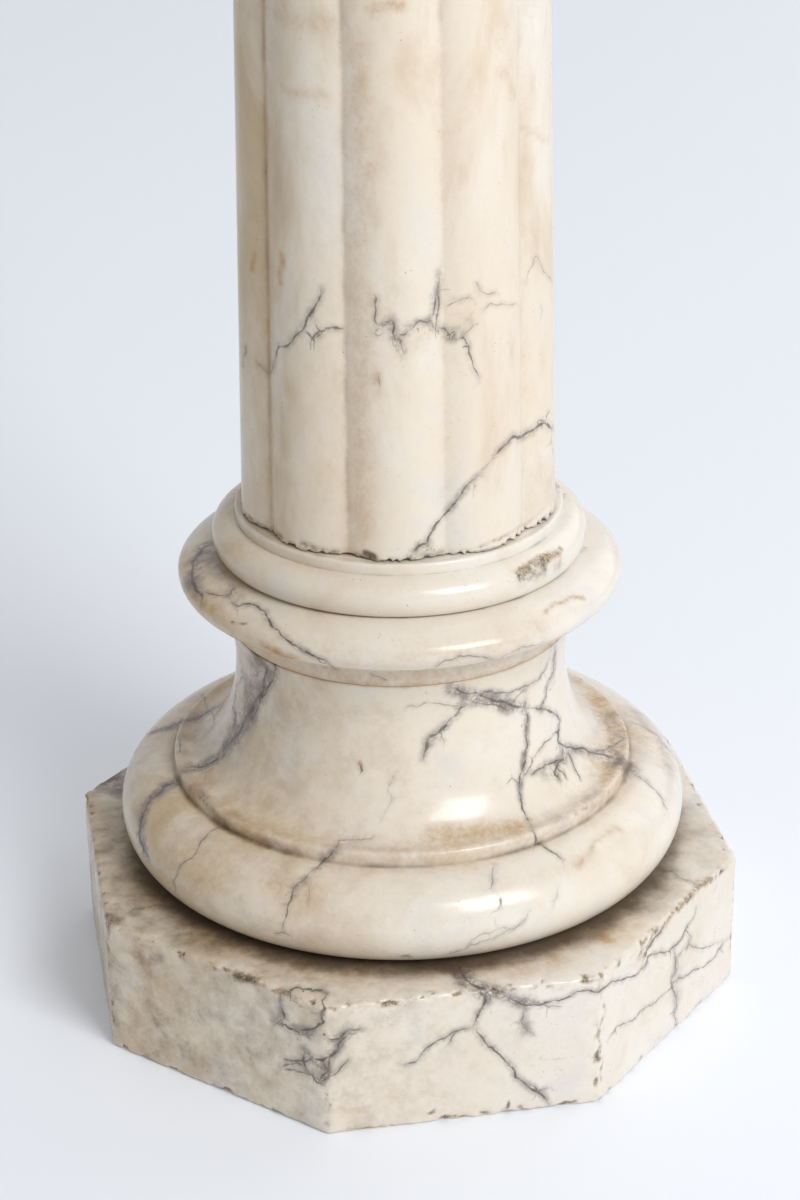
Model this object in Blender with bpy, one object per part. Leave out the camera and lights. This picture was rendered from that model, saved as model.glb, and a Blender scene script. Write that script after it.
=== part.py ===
# Marble display column: octagonal plinth, turned base, moulded ring,
# reeded shaft, capital and octagonal abacus, each a stone of its own.
# Metres, +Z up, origin at the centre of the underside.
import math

import bmesh
import bpy
from mathutils import Matrix

# Fineness of the curved forms
ROUND_STEPS = 60
REED_STEPS = 10
ARC_STEPS = 4
EDGE_STEPS = 2
MERGE = 0.00002
SHARP = math.radians(28.0)

# Open bed between one stone and the next
BED = 0.0003

# Shaft
SHAFT_RADIUS = 0.0743
SHAFT_DIMINISH = 0.0136
SHAFT_HEIGHT = 0.661
REED_COUNT = 10
REED_DEPTH = 0.0043
REED_TURN = math.radians(7.0)

# Ring stone under the shaft, each moulding told by its height and by how
# far it stands out past the one above it, or past the shaft
FILLET_HEIGHT = 0.0052
FILLET_REACH = 0.0021
SMALL_TORUS_HEIGHT = 0.0172
SMALL_TORUS_REACH = 0.0110
SMALL_TORUS_ROUND = 0.0052
UPPER_TORUS_HEIGHT = 0.0199
UPPER_TORUS_REACH = 0.0166
UPPER_TORUS_ROUND = 0.0112
COLLAR_HEIGHT = 0.0154
COLLAR_REACH = 0.0068

# Base stone: scotia, lip and lower torus
SCOTIA_HEIGHT = 0.0696
SCOTIA_REACH = 0.0229
SCOTIA_WAIST = 0.0027
SCOTIA_WAIST_DROP = 0.0185
LIP_HEIGHT = 0.0064
LIP_WIDTH = 0.0061
LIP_EDGE = 0.0016
LOWER_TORUS_LEDGE = 0.0020
LOWER_TORUS_HEIGHT = 0.0411
LOWER_TORUS_REACH = 0.0265
LOWER_TORUS_ROUND = 0.0175

# Plinth
PLINTH_HEIGHT = 0.069
PLINTH_MARGIN = 0.0154
PLINTH_EDGE = 0.0020
PLINTH_SIDES = 8

# Capital
ASTRAGAL_HEIGHT = 0.0110
ASTRAGAL_REACH = 0.0060
ASTRAGAL_ROUND = 0.0048
NECKING_HEIGHT = 0.0210
NECKING_REACH = 0.0020
ANNULET_HEIGHT = 0.0050
ANNULET_REACH = 0.0050
ECHINUS_HEIGHT = 0.0330
ECHINUS_REACH = 0.0310
ECHINUS_LIP = 0.0060

# Abacus
ABACUS_HEIGHT = 0.036
ABACUS_MARGIN = 0.0120
ABACUS_EDGE = 0.0020

# Radii that follow from the reaches
FILLET_RADIUS = SHAFT_RADIUS + FILLET_REACH
SMALL_TORUS_RADIUS = FILLET_RADIUS + SMALL_TORUS_REACH
UPPER_TORUS_RADIUS = SMALL_TORUS_RADIUS + UPPER_TORUS_REACH
COLLAR_RADIUS = SHAFT_RADIUS + COLLAR_REACH
WAIST_RADIUS = COLLAR_RADIUS - SCOTIA_WAIST
LIP_INNER_RADIUS = COLLAR_RADIUS + SCOTIA_REACH
LIP_RADIUS = LIP_INNER_RADIUS + LIP_WIDTH
LOWER_TORUS_RADIUS = LIP_RADIUS + LOWER_TORUS_REACH
PLINTH_HALF = LOWER_TORUS_RADIUS + PLINTH_MARGIN
SHAFT_TOP_RADIUS = SHAFT_RADIUS - SHAFT_DIMINISH
ASTRAGAL_RADIUS = SHAFT_TOP_RADIUS + ASTRAGAL_REACH
NECKING_RADIUS = SHAFT_TOP_RADIUS + NECKING_REACH
ANNULET_RADIUS = NECKING_RADIUS + ANNULET_REACH
ECHINUS_RADIUS = ANNULET_RADIUS + ECHINUS_REACH
ABACUS_HALF = ECHINUS_RADIUS + ABACUS_MARGIN

# Levels of the stones, from the floor up
BASE_FOOT = PLINTH_HEIGHT + BED
BASE_TOP = BASE_FOOT + LOWER_TORUS_HEIGHT + LIP_HEIGHT + SCOTIA_HEIGHT
RING_FOOT = BASE_TOP + BED
RING_HEIGHT = COLLAR_HEIGHT + UPPER_TORUS_HEIGHT + SMALL_TORUS_HEIGHT + FILLET_HEIGHT
RING_TOP = RING_FOOT + RING_HEIGHT
SHAFT_FOOT = RING_TOP + BED
SHAFT_TOP = SHAFT_FOOT + SHAFT_HEIGHT
CAPITAL_FOOT = SHAFT_TOP + BED
CAPITAL_HEIGHT = ASTRAGAL_HEIGHT + NECKING_HEIGHT + ANNULET_HEIGHT + ECHINUS_HEIGHT + ECHINUS_LIP
ABACUS_FOOT = CAPITAL_FOOT + CAPITAL_HEIGHT + BED

# Polished stone: linear colours and gloss
CREAM = (0.72, 0.64, 0.52)
WARM_CREAM = (0.68, 0.58, 0.45)
POLISH = 0.28


def clear_scene():
    """Start from an empty scene."""
    for thing in list(bpy.data.objects):
        bpy.data.objects.remove(thing, do_unlink=True)


def stone(name, colour):
    """One polished marble."""
    material = bpy.data.materials.new(name)
    material.use_nodes = True
    shader = material.node_tree.nodes["Principled BSDF"]
    shader.inputs["Base Color"].default_value = (*colour, 1.0)
    shader.inputs["Roughness"].default_value = POLISH
    shader.inputs["Metallic"].default_value = 0.0
    return material


def add_object(name, bm, material, height):
    """Turn a bmesh into an object standing at a height, round faces smooth."""
    bmesh.ops.recalc_face_normals(bm, faces=bm.faces[:])
    mesh = bpy.data.meshes.new(name)
    bm.to_mesh(mesh)
    bm.free()
    mesh.shade_smooth()
    mesh.set_sharp_from_angle(angle=SHARP)
    mesh.materials.append(material)
    thing = bpy.data.objects.new(name, mesh)
    thing.location.z = height
    bpy.context.scene.collection.objects.link(thing)
    return thing


def half_round(foot, height, shoulder, radius, reach):
    """A torus from its shoulder's radius out to its own, then in by its reach."""
    points = []
    for step in range(2 * ARC_STEPS + 1):
        turn = math.pi * (0.5 - step / (2 * ARC_STEPS))
        inner = shoulder if step < ARC_STEPS else radius - reach
        across = inner + (radius - inner) * math.cos(turn)
        points.append((across, foot + height * 0.5 * (1.0 + math.sin(turn))))
    return points


def scotia(foot):
    """The hollow of the base, from its head at the joint down to the lip."""
    head = foot + SCOTIA_HEIGHT
    waist = head - SCOTIA_WAIST_DROP
    points = []
    for step in range(ARC_STEPS - 1):
        part = step / (ARC_STEPS - 1)
        across = WAIST_RADIUS + SCOTIA_WAIST * (1.0 - part) ** 2
        points.append((across, head - SCOTIA_WAIST_DROP * part))
    for step in range(2 * ARC_STEPS + 1):
        turn = 0.5 * math.pi * step / (2 * ARC_STEPS)
        across = WAIST_RADIUS + (LIP_INNER_RADIUS - WAIST_RADIUS) * (1.0 - math.cos(turn))
        points.append((across, waist - (waist - foot) * math.sin(turn)))
    return points


def rounded_lip(foot):
    """The lip's top outer edge, rounded, and its upright face."""
    points = []
    for step in range(EDGE_STEPS + 1):
        turn = 0.5 * math.pi * step / EDGE_STEPS
        across = LIP_RADIUS - LIP_EDGE + LIP_EDGE * math.sin(turn)
        points.append((across, foot + LIP_HEIGHT - LIP_EDGE * (1.0 - math.cos(turn))))
    points.append((LIP_RADIUS, foot))
    return points


def turned(name, outline, material, height):
    """Turn an outline, listed top to bottom, about the column's axis."""
    bm = bmesh.new()
    points = [(0.0, outline[0][1]), *outline, (0.0, outline[-1][1])]
    verts = [bm.verts.new((across, 0.0, up)) for across, up in points]
    edges = [bm.edges.new(pair) for pair in zip(verts, verts[1:])]
    bmesh.ops.spin(
        bm,
        geom=verts + edges,
        cent=(0.0, 0.0, 0.0),
        axis=(0.0, 0.0, 1.0),
        angle=2.0 * math.pi,
        steps=ROUND_STEPS,
        use_merge=True,
    )
    bmesh.ops.remove_doubles(bm, verts=bm.verts[:], dist=MERGE)
    return add_object(name, bm, material, height)


def octagon(name, half, thickness, edge, material, height):
    """A slab of eight equal sides with its arrises eased."""
    bm = bmesh.new()
    corner = half / math.cos(math.pi / PLINTH_SIDES)
    bmesh.ops.create_circle(bm, cap_ends=True, segments=PLINTH_SIDES, radius=corner)
    bmesh.ops.rotate(
        bm,
        verts=bm.verts[:],
        cent=(0.0, 0.0, 0.0),
        matrix=Matrix.Rotation(math.pi / PLINTH_SIDES, 3, "Z"),
    )
    lifted = bmesh.ops.extrude_face_region(bm, geom=bm.faces[:])
    top = [item for item in lifted["geom"] if isinstance(item, bmesh.types.BMVert)]
    bmesh.ops.translate(bm, verts=top, vec=(0.0, 0.0, thickness))
    slab = add_object(name, bm, material, height)
    ease = slab.modifiers.new("eased arrises", "BEVEL")
    ease.width = edge
    ease.segments = EDGE_STEPS
    ease.limit_method = "ANGLE"
    return slab


def reed_radius(angle):
    """Outline of the shaft's foot: equal arcs from valley to valley."""
    half = math.pi / REED_COUNT
    valley = SHAFT_RADIUS - REED_DEPTH
    chord = valley * math.sin(half)
    rise = SHAFT_RADIUS - valley * math.cos(half)
    bow = (chord * chord + rise * rise) / (2.0 * rise)
    centre = SHAFT_RADIUS - bow
    off = (angle + half) % (2.0 * half) - half
    return centre * math.cos(off) + math.sqrt(bow ** 2 - (centre * math.sin(off)) ** 2)


def reeded_shaft(name, material, height):
    """A tapering shaft whose reeds meet in narrow valleys."""
    bm = bmesh.new()
    count = REED_COUNT * REED_STEPS
    ring = []
    for step in range(count):
        # a reed's own angles start in the valley beside it
        angle = 2.0 * math.pi * (step / count - 0.5 / REED_COUNT)
        across = reed_radius(angle)
        around = angle + REED_TURN
        ring.append(bm.verts.new((across * math.cos(around), across * math.sin(around), 0.0)))
    foot = bm.faces.new(ring)
    lifted = bmesh.ops.extrude_face_region(bm, geom=[foot])
    top = [item for item in lifted["geom"] if isinstance(item, bmesh.types.BMVert)]
    bmesh.ops.translate(bm, verts=top, vec=(0.0, 0.0, SHAFT_HEIGHT))
    narrow = SHAFT_TOP_RADIUS / SHAFT_RADIUS
    bmesh.ops.scale(bm, verts=top, vec=(narrow, narrow, 1.0))
    return add_object(name, bm, material, height)


def plinth(material):
    return octagon("plinth", PLINTH_HALF, PLINTH_HEIGHT, PLINTH_EDGE, material, 0.0)


def base(material):
    lip_foot = LOWER_TORUS_HEIGHT
    outline = scotia(lip_foot + LIP_HEIGHT)
    outline += rounded_lip(lip_foot)
    shoulder = LIP_RADIUS + LOWER_TORUS_LEDGE
    outline += half_round(0.0, LOWER_TORUS_HEIGHT, shoulder, LOWER_TORUS_RADIUS, LOWER_TORUS_ROUND)
    return turned("base", outline, material, BASE_FOOT)


def ring(material):
    torus_foot = COLLAR_HEIGHT
    small_foot = torus_foot + UPPER_TORUS_HEIGHT
    fillet_foot = small_foot + SMALL_TORUS_HEIGHT
    outline = [(FILLET_RADIUS, fillet_foot + FILLET_HEIGHT)]
    outline += half_round(
        small_foot, SMALL_TORUS_HEIGHT, FILLET_RADIUS, SMALL_TORUS_RADIUS, SMALL_TORUS_ROUND
    )
    # the upper torus starts in the crease where the small one ends
    crease = outline.pop()
    outline += half_round(
        torus_foot, UPPER_TORUS_HEIGHT, crease[0], UPPER_TORUS_RADIUS, UPPER_TORUS_ROUND
    )
    outline += [(COLLAR_RADIUS, torus_foot), (COLLAR_RADIUS, 0.0)]
    return turned("ring", outline, material, RING_FOOT)


def capital(material):
    necking_foot = ASTRAGAL_HEIGHT
    annulet_foot = necking_foot + NECKING_HEIGHT
    echinus_foot = annulet_foot + ANNULET_HEIGHT
    echinus_top = echinus_foot + ECHINUS_HEIGHT
    outline = [(ECHINUS_RADIUS, echinus_top + ECHINUS_LIP)]
    for step in range(2 * ARC_STEPS + 1):
        turn = 0.5 * math.pi * step / (2 * ARC_STEPS)
        across = ANNULET_RADIUS + ECHINUS_REACH * math.cos(turn)
        outline.append((across, echinus_top - ECHINUS_HEIGHT * math.sin(turn)))
    outline += [(ANNULET_RADIUS, annulet_foot), (NECKING_RADIUS, annulet_foot)]
    outline.append((NECKING_RADIUS, necking_foot))
    shoulder = ASTRAGAL_RADIUS - ASTRAGAL_ROUND
    outline += half_round(0.0, ASTRAGAL_HEIGHT, shoulder, ASTRAGAL_RADIUS, ASTRAGAL_ROUND)
    return turned("capital", outline, material, CAPITAL_FOOT)


def abacus(material):
    return octagon("abacus", ABACUS_HALF, ABACUS_HEIGHT, ABACUS_EDGE, material, ABACUS_FOOT)


def main():
    clear_scene()
    pale = stone("cream marble", CREAM)
    warm = stone("warm cream marble", WARM_CREAM)
    plinth(warm)
    base(pale)
    ring(pale)
    reeded_shaft("shaft", pale, SHAFT_FOOT)
    capital(pale)
    abacus(warm)


main()
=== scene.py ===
"""Models and dresses a veined marble display column on its eight-sided plinth.

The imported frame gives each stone's place and reach. The stones are turned or
drawn up from an outline, worn and chipped, and their veins are laid on by
sighting lines from the photograph's viewpoint onto the stone.
"""
import math
import random
from typing import NamedTuple

import bmesh
import bpy
import numpy as np
from bpy.props import FloatProperty, FloatVectorProperty, IntProperty, PointerProperty
from mathutils import Matrix, Vector, noise
from mathutils.bvhtree import BVHTree
from mathutils.kdtree import KDTree


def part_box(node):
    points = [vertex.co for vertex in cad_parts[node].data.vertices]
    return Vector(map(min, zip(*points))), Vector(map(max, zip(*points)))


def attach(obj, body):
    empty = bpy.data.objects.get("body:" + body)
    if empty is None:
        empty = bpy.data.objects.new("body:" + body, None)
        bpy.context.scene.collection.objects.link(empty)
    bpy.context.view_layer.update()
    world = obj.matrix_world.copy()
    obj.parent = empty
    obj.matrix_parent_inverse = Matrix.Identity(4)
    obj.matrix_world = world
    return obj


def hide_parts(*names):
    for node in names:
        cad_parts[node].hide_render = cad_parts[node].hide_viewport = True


bl_info = {
    "name": "Reeded marble column",
    "version": (1, 0, 0),
    "blender": (4, 5, 0),
    "location": "3D View > Sidebar > Column",
    "description": "Models and dresses a veined marble display column",
    "category": "Object",
}

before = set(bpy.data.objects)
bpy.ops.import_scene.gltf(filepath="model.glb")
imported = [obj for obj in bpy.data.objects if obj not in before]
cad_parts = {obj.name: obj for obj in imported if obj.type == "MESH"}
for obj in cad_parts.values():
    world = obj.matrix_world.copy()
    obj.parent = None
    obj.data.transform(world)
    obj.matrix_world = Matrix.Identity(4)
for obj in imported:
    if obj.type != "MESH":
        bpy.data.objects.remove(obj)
BODY = "root"

# The photograph's frame, in its own pixels, and how far past it a point still counts as seen
PHOTO_WIDTH = 800
PHOTO_HEIGHT = 1200
FRINGE = 12

SENSOR = 36.0

MM = 0.001

# Steps of the outlines and of the slabs' and the shaft's meshes: LONG draws a run in one step
GRAIN = 0.0016
FINE_GRAIN = 0.0008
LONG = 0.9
SLAB_ROW = 0.0018
SLAB_COLUMN = 0.0017
REED_STEPS = 28
SHAFT_CUTS = (9, 98, 84)

# CLOSE tells one level or point from the next, WELD joins what lies together
CLOSE = 0.0001
WELD = 0.00002
SMOOTH_ANGLE = math.radians(40.0)

# The slabs' sides, and the turn from the middle of a side to its end
SIDES = 8
HALF_SIDE = math.pi / SIDES

# The wave of a slab's arrises at which they are worn in full
FULL_WAVE = 0.0011

# A path swings by a share SWING of each gap, and breaks where its hits jump by more than STRIDE
SWING = 0.13
STRIDE = 0.014

# A vein is laid as threads of about this length, which taper to a share TIP at its ends
THREAD = 0.0016
TAPER = 9.0
TIP = 0.12

# A face reads the nearest threads within SIGHT; a place lies beside one, not past its end, from
# the share BESIDE of its distance on
SIGHT = 0.006
NEAREST = 9
BESIDE = 0.7

# A mark's patch ends at FADE times its reach, and a vein's grey haze has HAZE of its darkness
FADE = 2.4
HAZE = 0.62
# The first three kinds lay real soiling, stains and vein haze, and also painted shade in creases, under
# the tori and on the reeds' shaded flanks
KINDS = ("smoke", "stain", "grime", "rough")

# The veins of the hidden sides, in mm and radians, and what a fork keeps of its vein
GROWTH = 7
HEADING_SPREAD = 0.32
TILT = 1.1
LENGTHS = (40.0, 130.0)
HAZE_REACHES = (0.0, 2.0, 4.5)
FORK_CHANCE = 0.16
FORK_TURN = 0.9
FORK_LENGTH = 0.4
FORK_WIDTH = 0.7
FORK_DARK = 0.9
FORK_HAZE = 0.6

# How far each stone's ground is shifted, so that no two are alike
GROUND_SHIFT = 3.0

# The bearing from which the stones are dirtiest and darkest: soiling, yellowed skin and mottling, and
# painted shade on the side turned away from the key light
DIRTY_SHADED_SIDE = math.radians(170.0)

# Bearings between which veins are grown, in degrees
BEHIND = (-22.0, 182.0)
ALL_ROUND = (0.0, 360.0)


def top_of(node):
    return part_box(node)[1].z


def foot_of(node):
    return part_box(node)[0].z


def reach_of(node):
    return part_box(node)[1].x


def size(name, text, default):
    return FloatProperty(name=name, description=text, default=default, unit="LENGTH", precision=4)


def colour(name, text, default):
    return FloatVectorProperty(
        name=name, description=text, default=default, size=3, subtype="COLOR", min=0.0, max=1.0
    )


def share(name, text, default):
    return FloatProperty(name=name, description=text, default=default, min=0.0, subtype="FACTOR")


class SlabSizes(bpy.types.PropertyGroup):
    arris: size("Arris", "Rounding worn onto the slabs' edges", 0.0024)
    corner: size("Corner", "Rounding worn onto the slabs' upright corners", 0.0016)
    wave: size("Wave", "How far wear moves an arris in and out", FULL_WAVE)
    hidden: size("Hidden middle", "Reach of the top that the stone above covers", 0.112)
    middle: size("Abacus middle", "Reach of the abacus's top that is closed in one step", 0.012)


class BaseSizes(bpy.types.PropertyGroup):
    head: size("Head", "Radius at the bed under the ring", 0.0811)
    bed: size("Bed", "Width of the bed that is modelled finely", 0.006)
    waist: size("Waist", "How far the hollow draws in below its head", 0.0027)
    waist_drop: size("Waist drop", "How far below its head the hollow is narrowest", 0.0185)
    lip_inner: size("Lip's inside", "Radius where the hollow meets the lip", 0.1040)
    lip_radius: size("Lip's radius", "Radius of the lip's upright face", 0.1101)
    lip_height: size("Lip's height", "Height of the lip's upright face", 0.0064)
    lip_edge: size("Lip's edge", "Rounding of the lip's edges", 0.0017)
    torus_height: size("Torus height", "Height of the lower torus", 0.0411)
    torus_round: size("Torus round", "How far the lower torus swells out", 0.0175)
    ledge: size("Ledge", "Flat between the lip and the lower torus", 0.0020)


class RingSizes(bpy.types.PropertyGroup):
    bed: size("Bed", "Width of the bed that is modelled finely", 0.009)
    fillet_radius: size("Fillet radius", "Radius of the fillet under the shaft", 0.0764)
    fillet_height: size("Fillet height", "Height of that fillet", 0.0052)
    small_radius: size("Small torus radius", "Radius of the small torus", 0.0874)
    small_height: size("Small torus height", "Height of the small torus", 0.0172)
    small_round: size("Small torus round", "How far the small torus swells out", 0.0052)
    large_height: size("Large torus height", "Height of the large torus", 0.0199)
    large_round: size("Large torus round", "How far the large torus swells out", 0.0112)
    collar_radius: size("Collar radius", "Radius of the collar on the bed", 0.0811)
    edge: size("Edge", "Rounding of the fillet's and collar's edges", 0.0011)
    settle: size("Settle", "How far the ring's foot closes its bed joint", 0.0002)


class ShaftSizes(bpy.types.PropertyGroup):
    radius: size("Radius", "Radius over the reeds at the foot", 0.0743)
    top_radius: size("Top radius", "Radius over the reeds at the top", 0.0607)
    depth: size("Valley depth", "How far the valleys lie below the reeds", 0.0043)
    valley: size("Valley round", "Rounding along the bottom of each valley", 0.0008)
    near: size("Near stretch", "Height from the foot that is modelled finely", 0.270)
    chipped: size("Chipped stretch", "Height from the foot that chips reach", 0.008)
    turn: FloatProperty(
        name="Turn", description="Bearing of the first reed", default=math.radians(7.0), subtype="ANGLE"
    )
    reeds: IntProperty(name="Reeds", description="Number of reeds", default=10, min=3)


class CapitalSizes(bpy.types.PropertyGroup):
    bed: size("Bed", "Width of the bed that is modelled finely", 0.010)
    astragal_radius: size("Astragal radius", "Radius of the bead at the foot", 0.0667)
    astragal_height: size("Astragal height", "Height of that bead", 0.0110)
    astragal_round: size("Astragal round", "How far the bead swells out", 0.0048)
    necking_radius: size("Necking radius", "Radius of the plain band", 0.0627)
    necking_height: size("Necking height", "Height of the plain band", 0.0210)
    annulet_radius: size("Annulet radius", "Radius of the step below the echinus", 0.0677)
    annulet_height: size("Annulet height", "Height of that step", 0.0050)
    echinus_lip: size("Echinus lip", "Height of the upright face under the abacus", 0.0060)
    edge: size("Edge", "Rounding of the edges", 0.0012)


class MarbleLook(bpy.types.PropertyGroup):
    white: colour("White", "Palest ground", (0.84, 0.79, 0.72))
    cream: colour("Cream", "Warm ground", (0.80, 0.69, 0.54))
    cool: colour("Cool", "Clear, greyer patches in the ground", (0.74, 0.71, 0.68))
    tan: colour("Tan", "Warm clouds in the ground", (0.60, 0.44, 0.27))
    murk: colour("Murk", "Dull mottling where the polish has gone", (0.33, 0.26, 0.19))
    # Partly the stone's yellowed skin, partly painted shade on the side turned away from the key light
    patina_and_shade: colour("Patina", "Darker, yellowed skin of the left side", (0.48, 0.34, 0.16))
    # Also lays warm painted shade on the reeds' left flanks and under the tori, beside iron stains
    ochre: colour("Ochre", "Iron stains", (0.46, 0.27, 0.09))
    # Also lays painted shade under the small torus and inside the lip's right
    smoke: colour("Smoke", "Grey haze beside the veins", (0.215, 0.18, 0.17))
    vein: colour("Vein", "Body of the veins", (0.09, 0.066, 0.052))
    # Also lays painted shade in the creases and under the tori, beside real soiling in pits and chips
    dirt_and_shade: colour("Dirt", "Grime in the hollows", (0.075, 0.045, 0.022))
    broken: colour("Broken stone", "Rough stone in the chips", (0.46, 0.36, 0.24))
    polish: share("Polish", "Roughness of the clean polish", 0.19)
    glow: share("Glow", "Share of light that sinks into the stone", 0.12)


class StudioSetup(bpy.types.PropertyGroup):
    distance: size("Distance", "Camera's distance from the column's axis, on plan", 1.1756)
    height: size("Height", "Camera's height above the floor", 0.7533)
    bearing: FloatProperty(
        name="Bearing", description="Camera's turn about the column", default=math.radians(-10.0),
        subtype="ANGLE",
    )
    pitch: FloatProperty(
        name="Pitch", description="How far the camera looks down", default=0.4463, subtype="ANGLE"
    )
    roll: FloatProperty(
        name="Roll", description="Camera's tilt to one side", default=-0.0122, subtype="ANGLE"
    )
    focal: FloatProperty(
        name="Focal length", description="Focal length in the photograph's pixels", default=2750.0
    )
    floor: colour("Floor", "Pale floor and backdrop", (0.87, 0.90, 0.955))
    glow: share("Floor glow", "Light that the floor and backdrop give off themselves", 0.07)
    sky: colour("Fill", "Colour of the light from all round", (1.0, 1.0, 1.0))
    fill: share("Fill strength", "Strength of the light from all round", 0.43)
    key: FloatProperty(
        name="Key", description="Power of the soft main light", default=102.0, min=0.0, unit="POWER"
    )


# Outlines of turned stones, as points of reach and height

def straight(points, reach, height, grain=GRAIN):
    """Carry an outline on to a point in even steps, as many as fit give or take a rounding."""
    rounding = 0.01
    start = Vector(points[-1])
    end = Vector((reach, height))
    steps = math.ceil((end - start).length / grain - rounding)
    points += [tuple(start.lerp(end, step / steps)) for step in range(1, steps + 1)]


def bend(points, centre, across, up, start, end, grain=GRAIN):
    """Carry an outline on along part of an ellipse, angles counted from outwards to up."""
    length = abs(end - start) * math.sqrt((across * across + up * up) / 2.0)
    steps = max(3, math.ceil(length / grain))
    for step in range(1, steps + 1):
        turn = start + (end - start) * step / steps
        points.append((centre[0] + across * math.cos(turn), centre[1] + up * math.sin(turn)))


UP = math.pi / 2


def half_round(points, shoulder, reach, foot, height, swell):
    """Carry an outline on around a torus, from its shoulder to its foot."""
    middle = foot + height / 2
    straight(points, shoulder, foot + height)
    bend(points, (shoulder, middle), reach - shoulder, height / 2, UP, 0.0)
    bend(points, (reach - swell, middle), swell, height / 2, 0.0, -UP)


def round_edge(points, reach, height, edge, start, end):
    """Carry an outline on around an eased edge at a corner of reach and height."""
    lift = edge if start < 0 or end < 0 else -edge
    centre = (reach - edge, height + lift)
    straight(points, centre[0] + edge * math.cos(start), centre[1] + edge * math.sin(start))
    bend(points, centre, edge, edge, start, end, FINE_GRAIN)


def base_outline(sizes):
    """Scotia, lip and lower torus, from the top of the axis to its foot."""
    foot, top = foot_of("base"), top_of("base")
    lip_foot = foot + sizes.torus_height
    lip_top = lip_foot + sizes.lip_height
    points = [(0.0, top)]
    straight(points, sizes.head - sizes.bed, top, LONG)
    round_edge(points, sizes.head, top, sizes.lip_edge / 2, UP, 0.0)
    waist = sizes.head - sizes.waist
    head_height = points[-1][1]
    waist_height = top - sizes.waist_drop
    steps = math.ceil((head_height - waist_height) / GRAIN)
    for step in range(1, steps + 1):
        part = step / steps
        height = head_height + (waist_height - head_height) * part
        points.append((waist + sizes.waist * (1.0 - part) ** 2, height))
    bend(points, (sizes.lip_inner, waist_height), sizes.lip_inner - waist,
         waist_height - lip_top, math.pi, 1.5 * math.pi)
    round_edge(points, sizes.lip_radius, lip_top, sizes.lip_edge, UP, 0.0)
    straight(points, sizes.lip_radius, lip_foot)
    half_round(points, sizes.lip_radius + sizes.ledge, reach_of("base"), foot, sizes.torus_height,
               sizes.torus_round)
    straight(points, 0.0, foot, LONG)
    return points


def ring_outline(sizes):
    """Fillet, small torus, large torus and collar."""
    foot, top = foot_of("ring") - sizes.settle, top_of("ring")
    fillet_foot = top - sizes.fillet_height
    small_foot = fillet_foot - sizes.small_height
    large_foot = small_foot - sizes.large_height
    points = [(0.0, top)]
    straight(points, sizes.fillet_radius - sizes.bed, top, LONG)
    round_edge(points, sizes.fillet_radius, top, sizes.edge, UP, 0.0)
    straight(points, sizes.fillet_radius, fillet_foot, FINE_GRAIN)
    half_round(points, sizes.fillet_radius, sizes.small_radius, small_foot, sizes.small_height,
               sizes.small_round)
    half_round(points, sizes.small_radius - sizes.small_round, reach_of("ring"), large_foot,
               sizes.large_height, sizes.large_round)
    straight(points, sizes.collar_radius, large_foot)
    straight(points, sizes.collar_radius, foot + sizes.edge)
    round_edge(points, sizes.collar_radius, foot, sizes.edge / 2, 0.0, -UP)
    straight(points, 0.0, foot, LONG)
    return points


def capital_outline(sizes):
    """Echinus, annulet, necking and astragal."""
    foot, top = foot_of("capital"), top_of("capital")
    necking_foot = foot + sizes.astragal_height
    annulet_foot = necking_foot + sizes.necking_height
    echinus_foot = annulet_foot + sizes.annulet_height
    echinus_top = top - sizes.echinus_lip
    reach = reach_of("capital")
    points = [(0.0, top)]
    straight(points, reach - sizes.bed, top, LONG)
    round_edge(points, reach, top, sizes.edge, UP, 0.0)
    straight(points, reach, echinus_top)
    bend(points, (sizes.annulet_radius, echinus_top), reach - sizes.annulet_radius,
         echinus_top - echinus_foot, 0.0, -UP)
    straight(points, sizes.annulet_radius, annulet_foot)
    straight(points, sizes.necking_radius, annulet_foot)
    straight(points, sizes.necking_radius, necking_foot)
    half_round(points, sizes.astragal_radius - sizes.astragal_round, sizes.astragal_radius, foot,
               sizes.astragal_height, sizes.astragal_round)
    straight(points, 0.0, foot, LONG)
    return points


# Modelling

def nothing_selected():
    if bpy.context.object and bpy.context.object.mode != "OBJECT":
        bpy.ops.object.mode_set(mode="OBJECT")
    bpy.ops.object.select_all(action="DESELECT")


def one_point(place):
    """Start an object as a single selected point, in edit mode."""
    nothing_selected()
    bpy.ops.mesh.primitive_plane_add(size=FINE_GRAIN)
    bpy.ops.object.mode_set(mode="EDIT")
    bpy.ops.mesh.select_mode(type="VERT")
    bpy.ops.mesh.select_all(action="SELECT")
    bpy.ops.mesh.merge(type="CENTER")
    bpy.ops.transform.translate(value=place)
    return bpy.context.object


def extrude_by(offset):
    bpy.ops.mesh.extrude_region_move(TRANSFORM_OT_translate={"value": offset})


def select_where(kind, test):
    """In edit mode, select only the points or edges that pass a test."""
    mesh = bpy.context.object.data
    bpy.ops.mesh.select_mode(type="EDGE" if kind == "edges" else "VERT")
    bpy.ops.mesh.select_all(action="DESELECT")
    bm = bmesh.from_edit_mesh(mesh)
    for item in getattr(bm, kind):
        if test(item):
            item.select_set(True)
    bm.select_flush_mode()
    bmesh.update_edit_mesh(mesh)


def finish_piece(name, node):
    """Close seams, turn faces outwards and fit the piece into the frame."""
    bpy.ops.mesh.select_all(action="SELECT")
    bpy.ops.mesh.remove_doubles(threshold=WELD)
    bpy.ops.mesh.normals_make_consistent(inside=False)
    bpy.ops.object.mode_set(mode="OBJECT")
    bpy.ops.object.transform_apply(location=True, rotation=True, scale=True)
    piece = bpy.context.object
    piece.name = name
    piece.data.name = name
    bpy.ops.object.shade_smooth_by_angle(angle=SMOOTH_ANGLE)
    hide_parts(node)
    return piece


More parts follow.
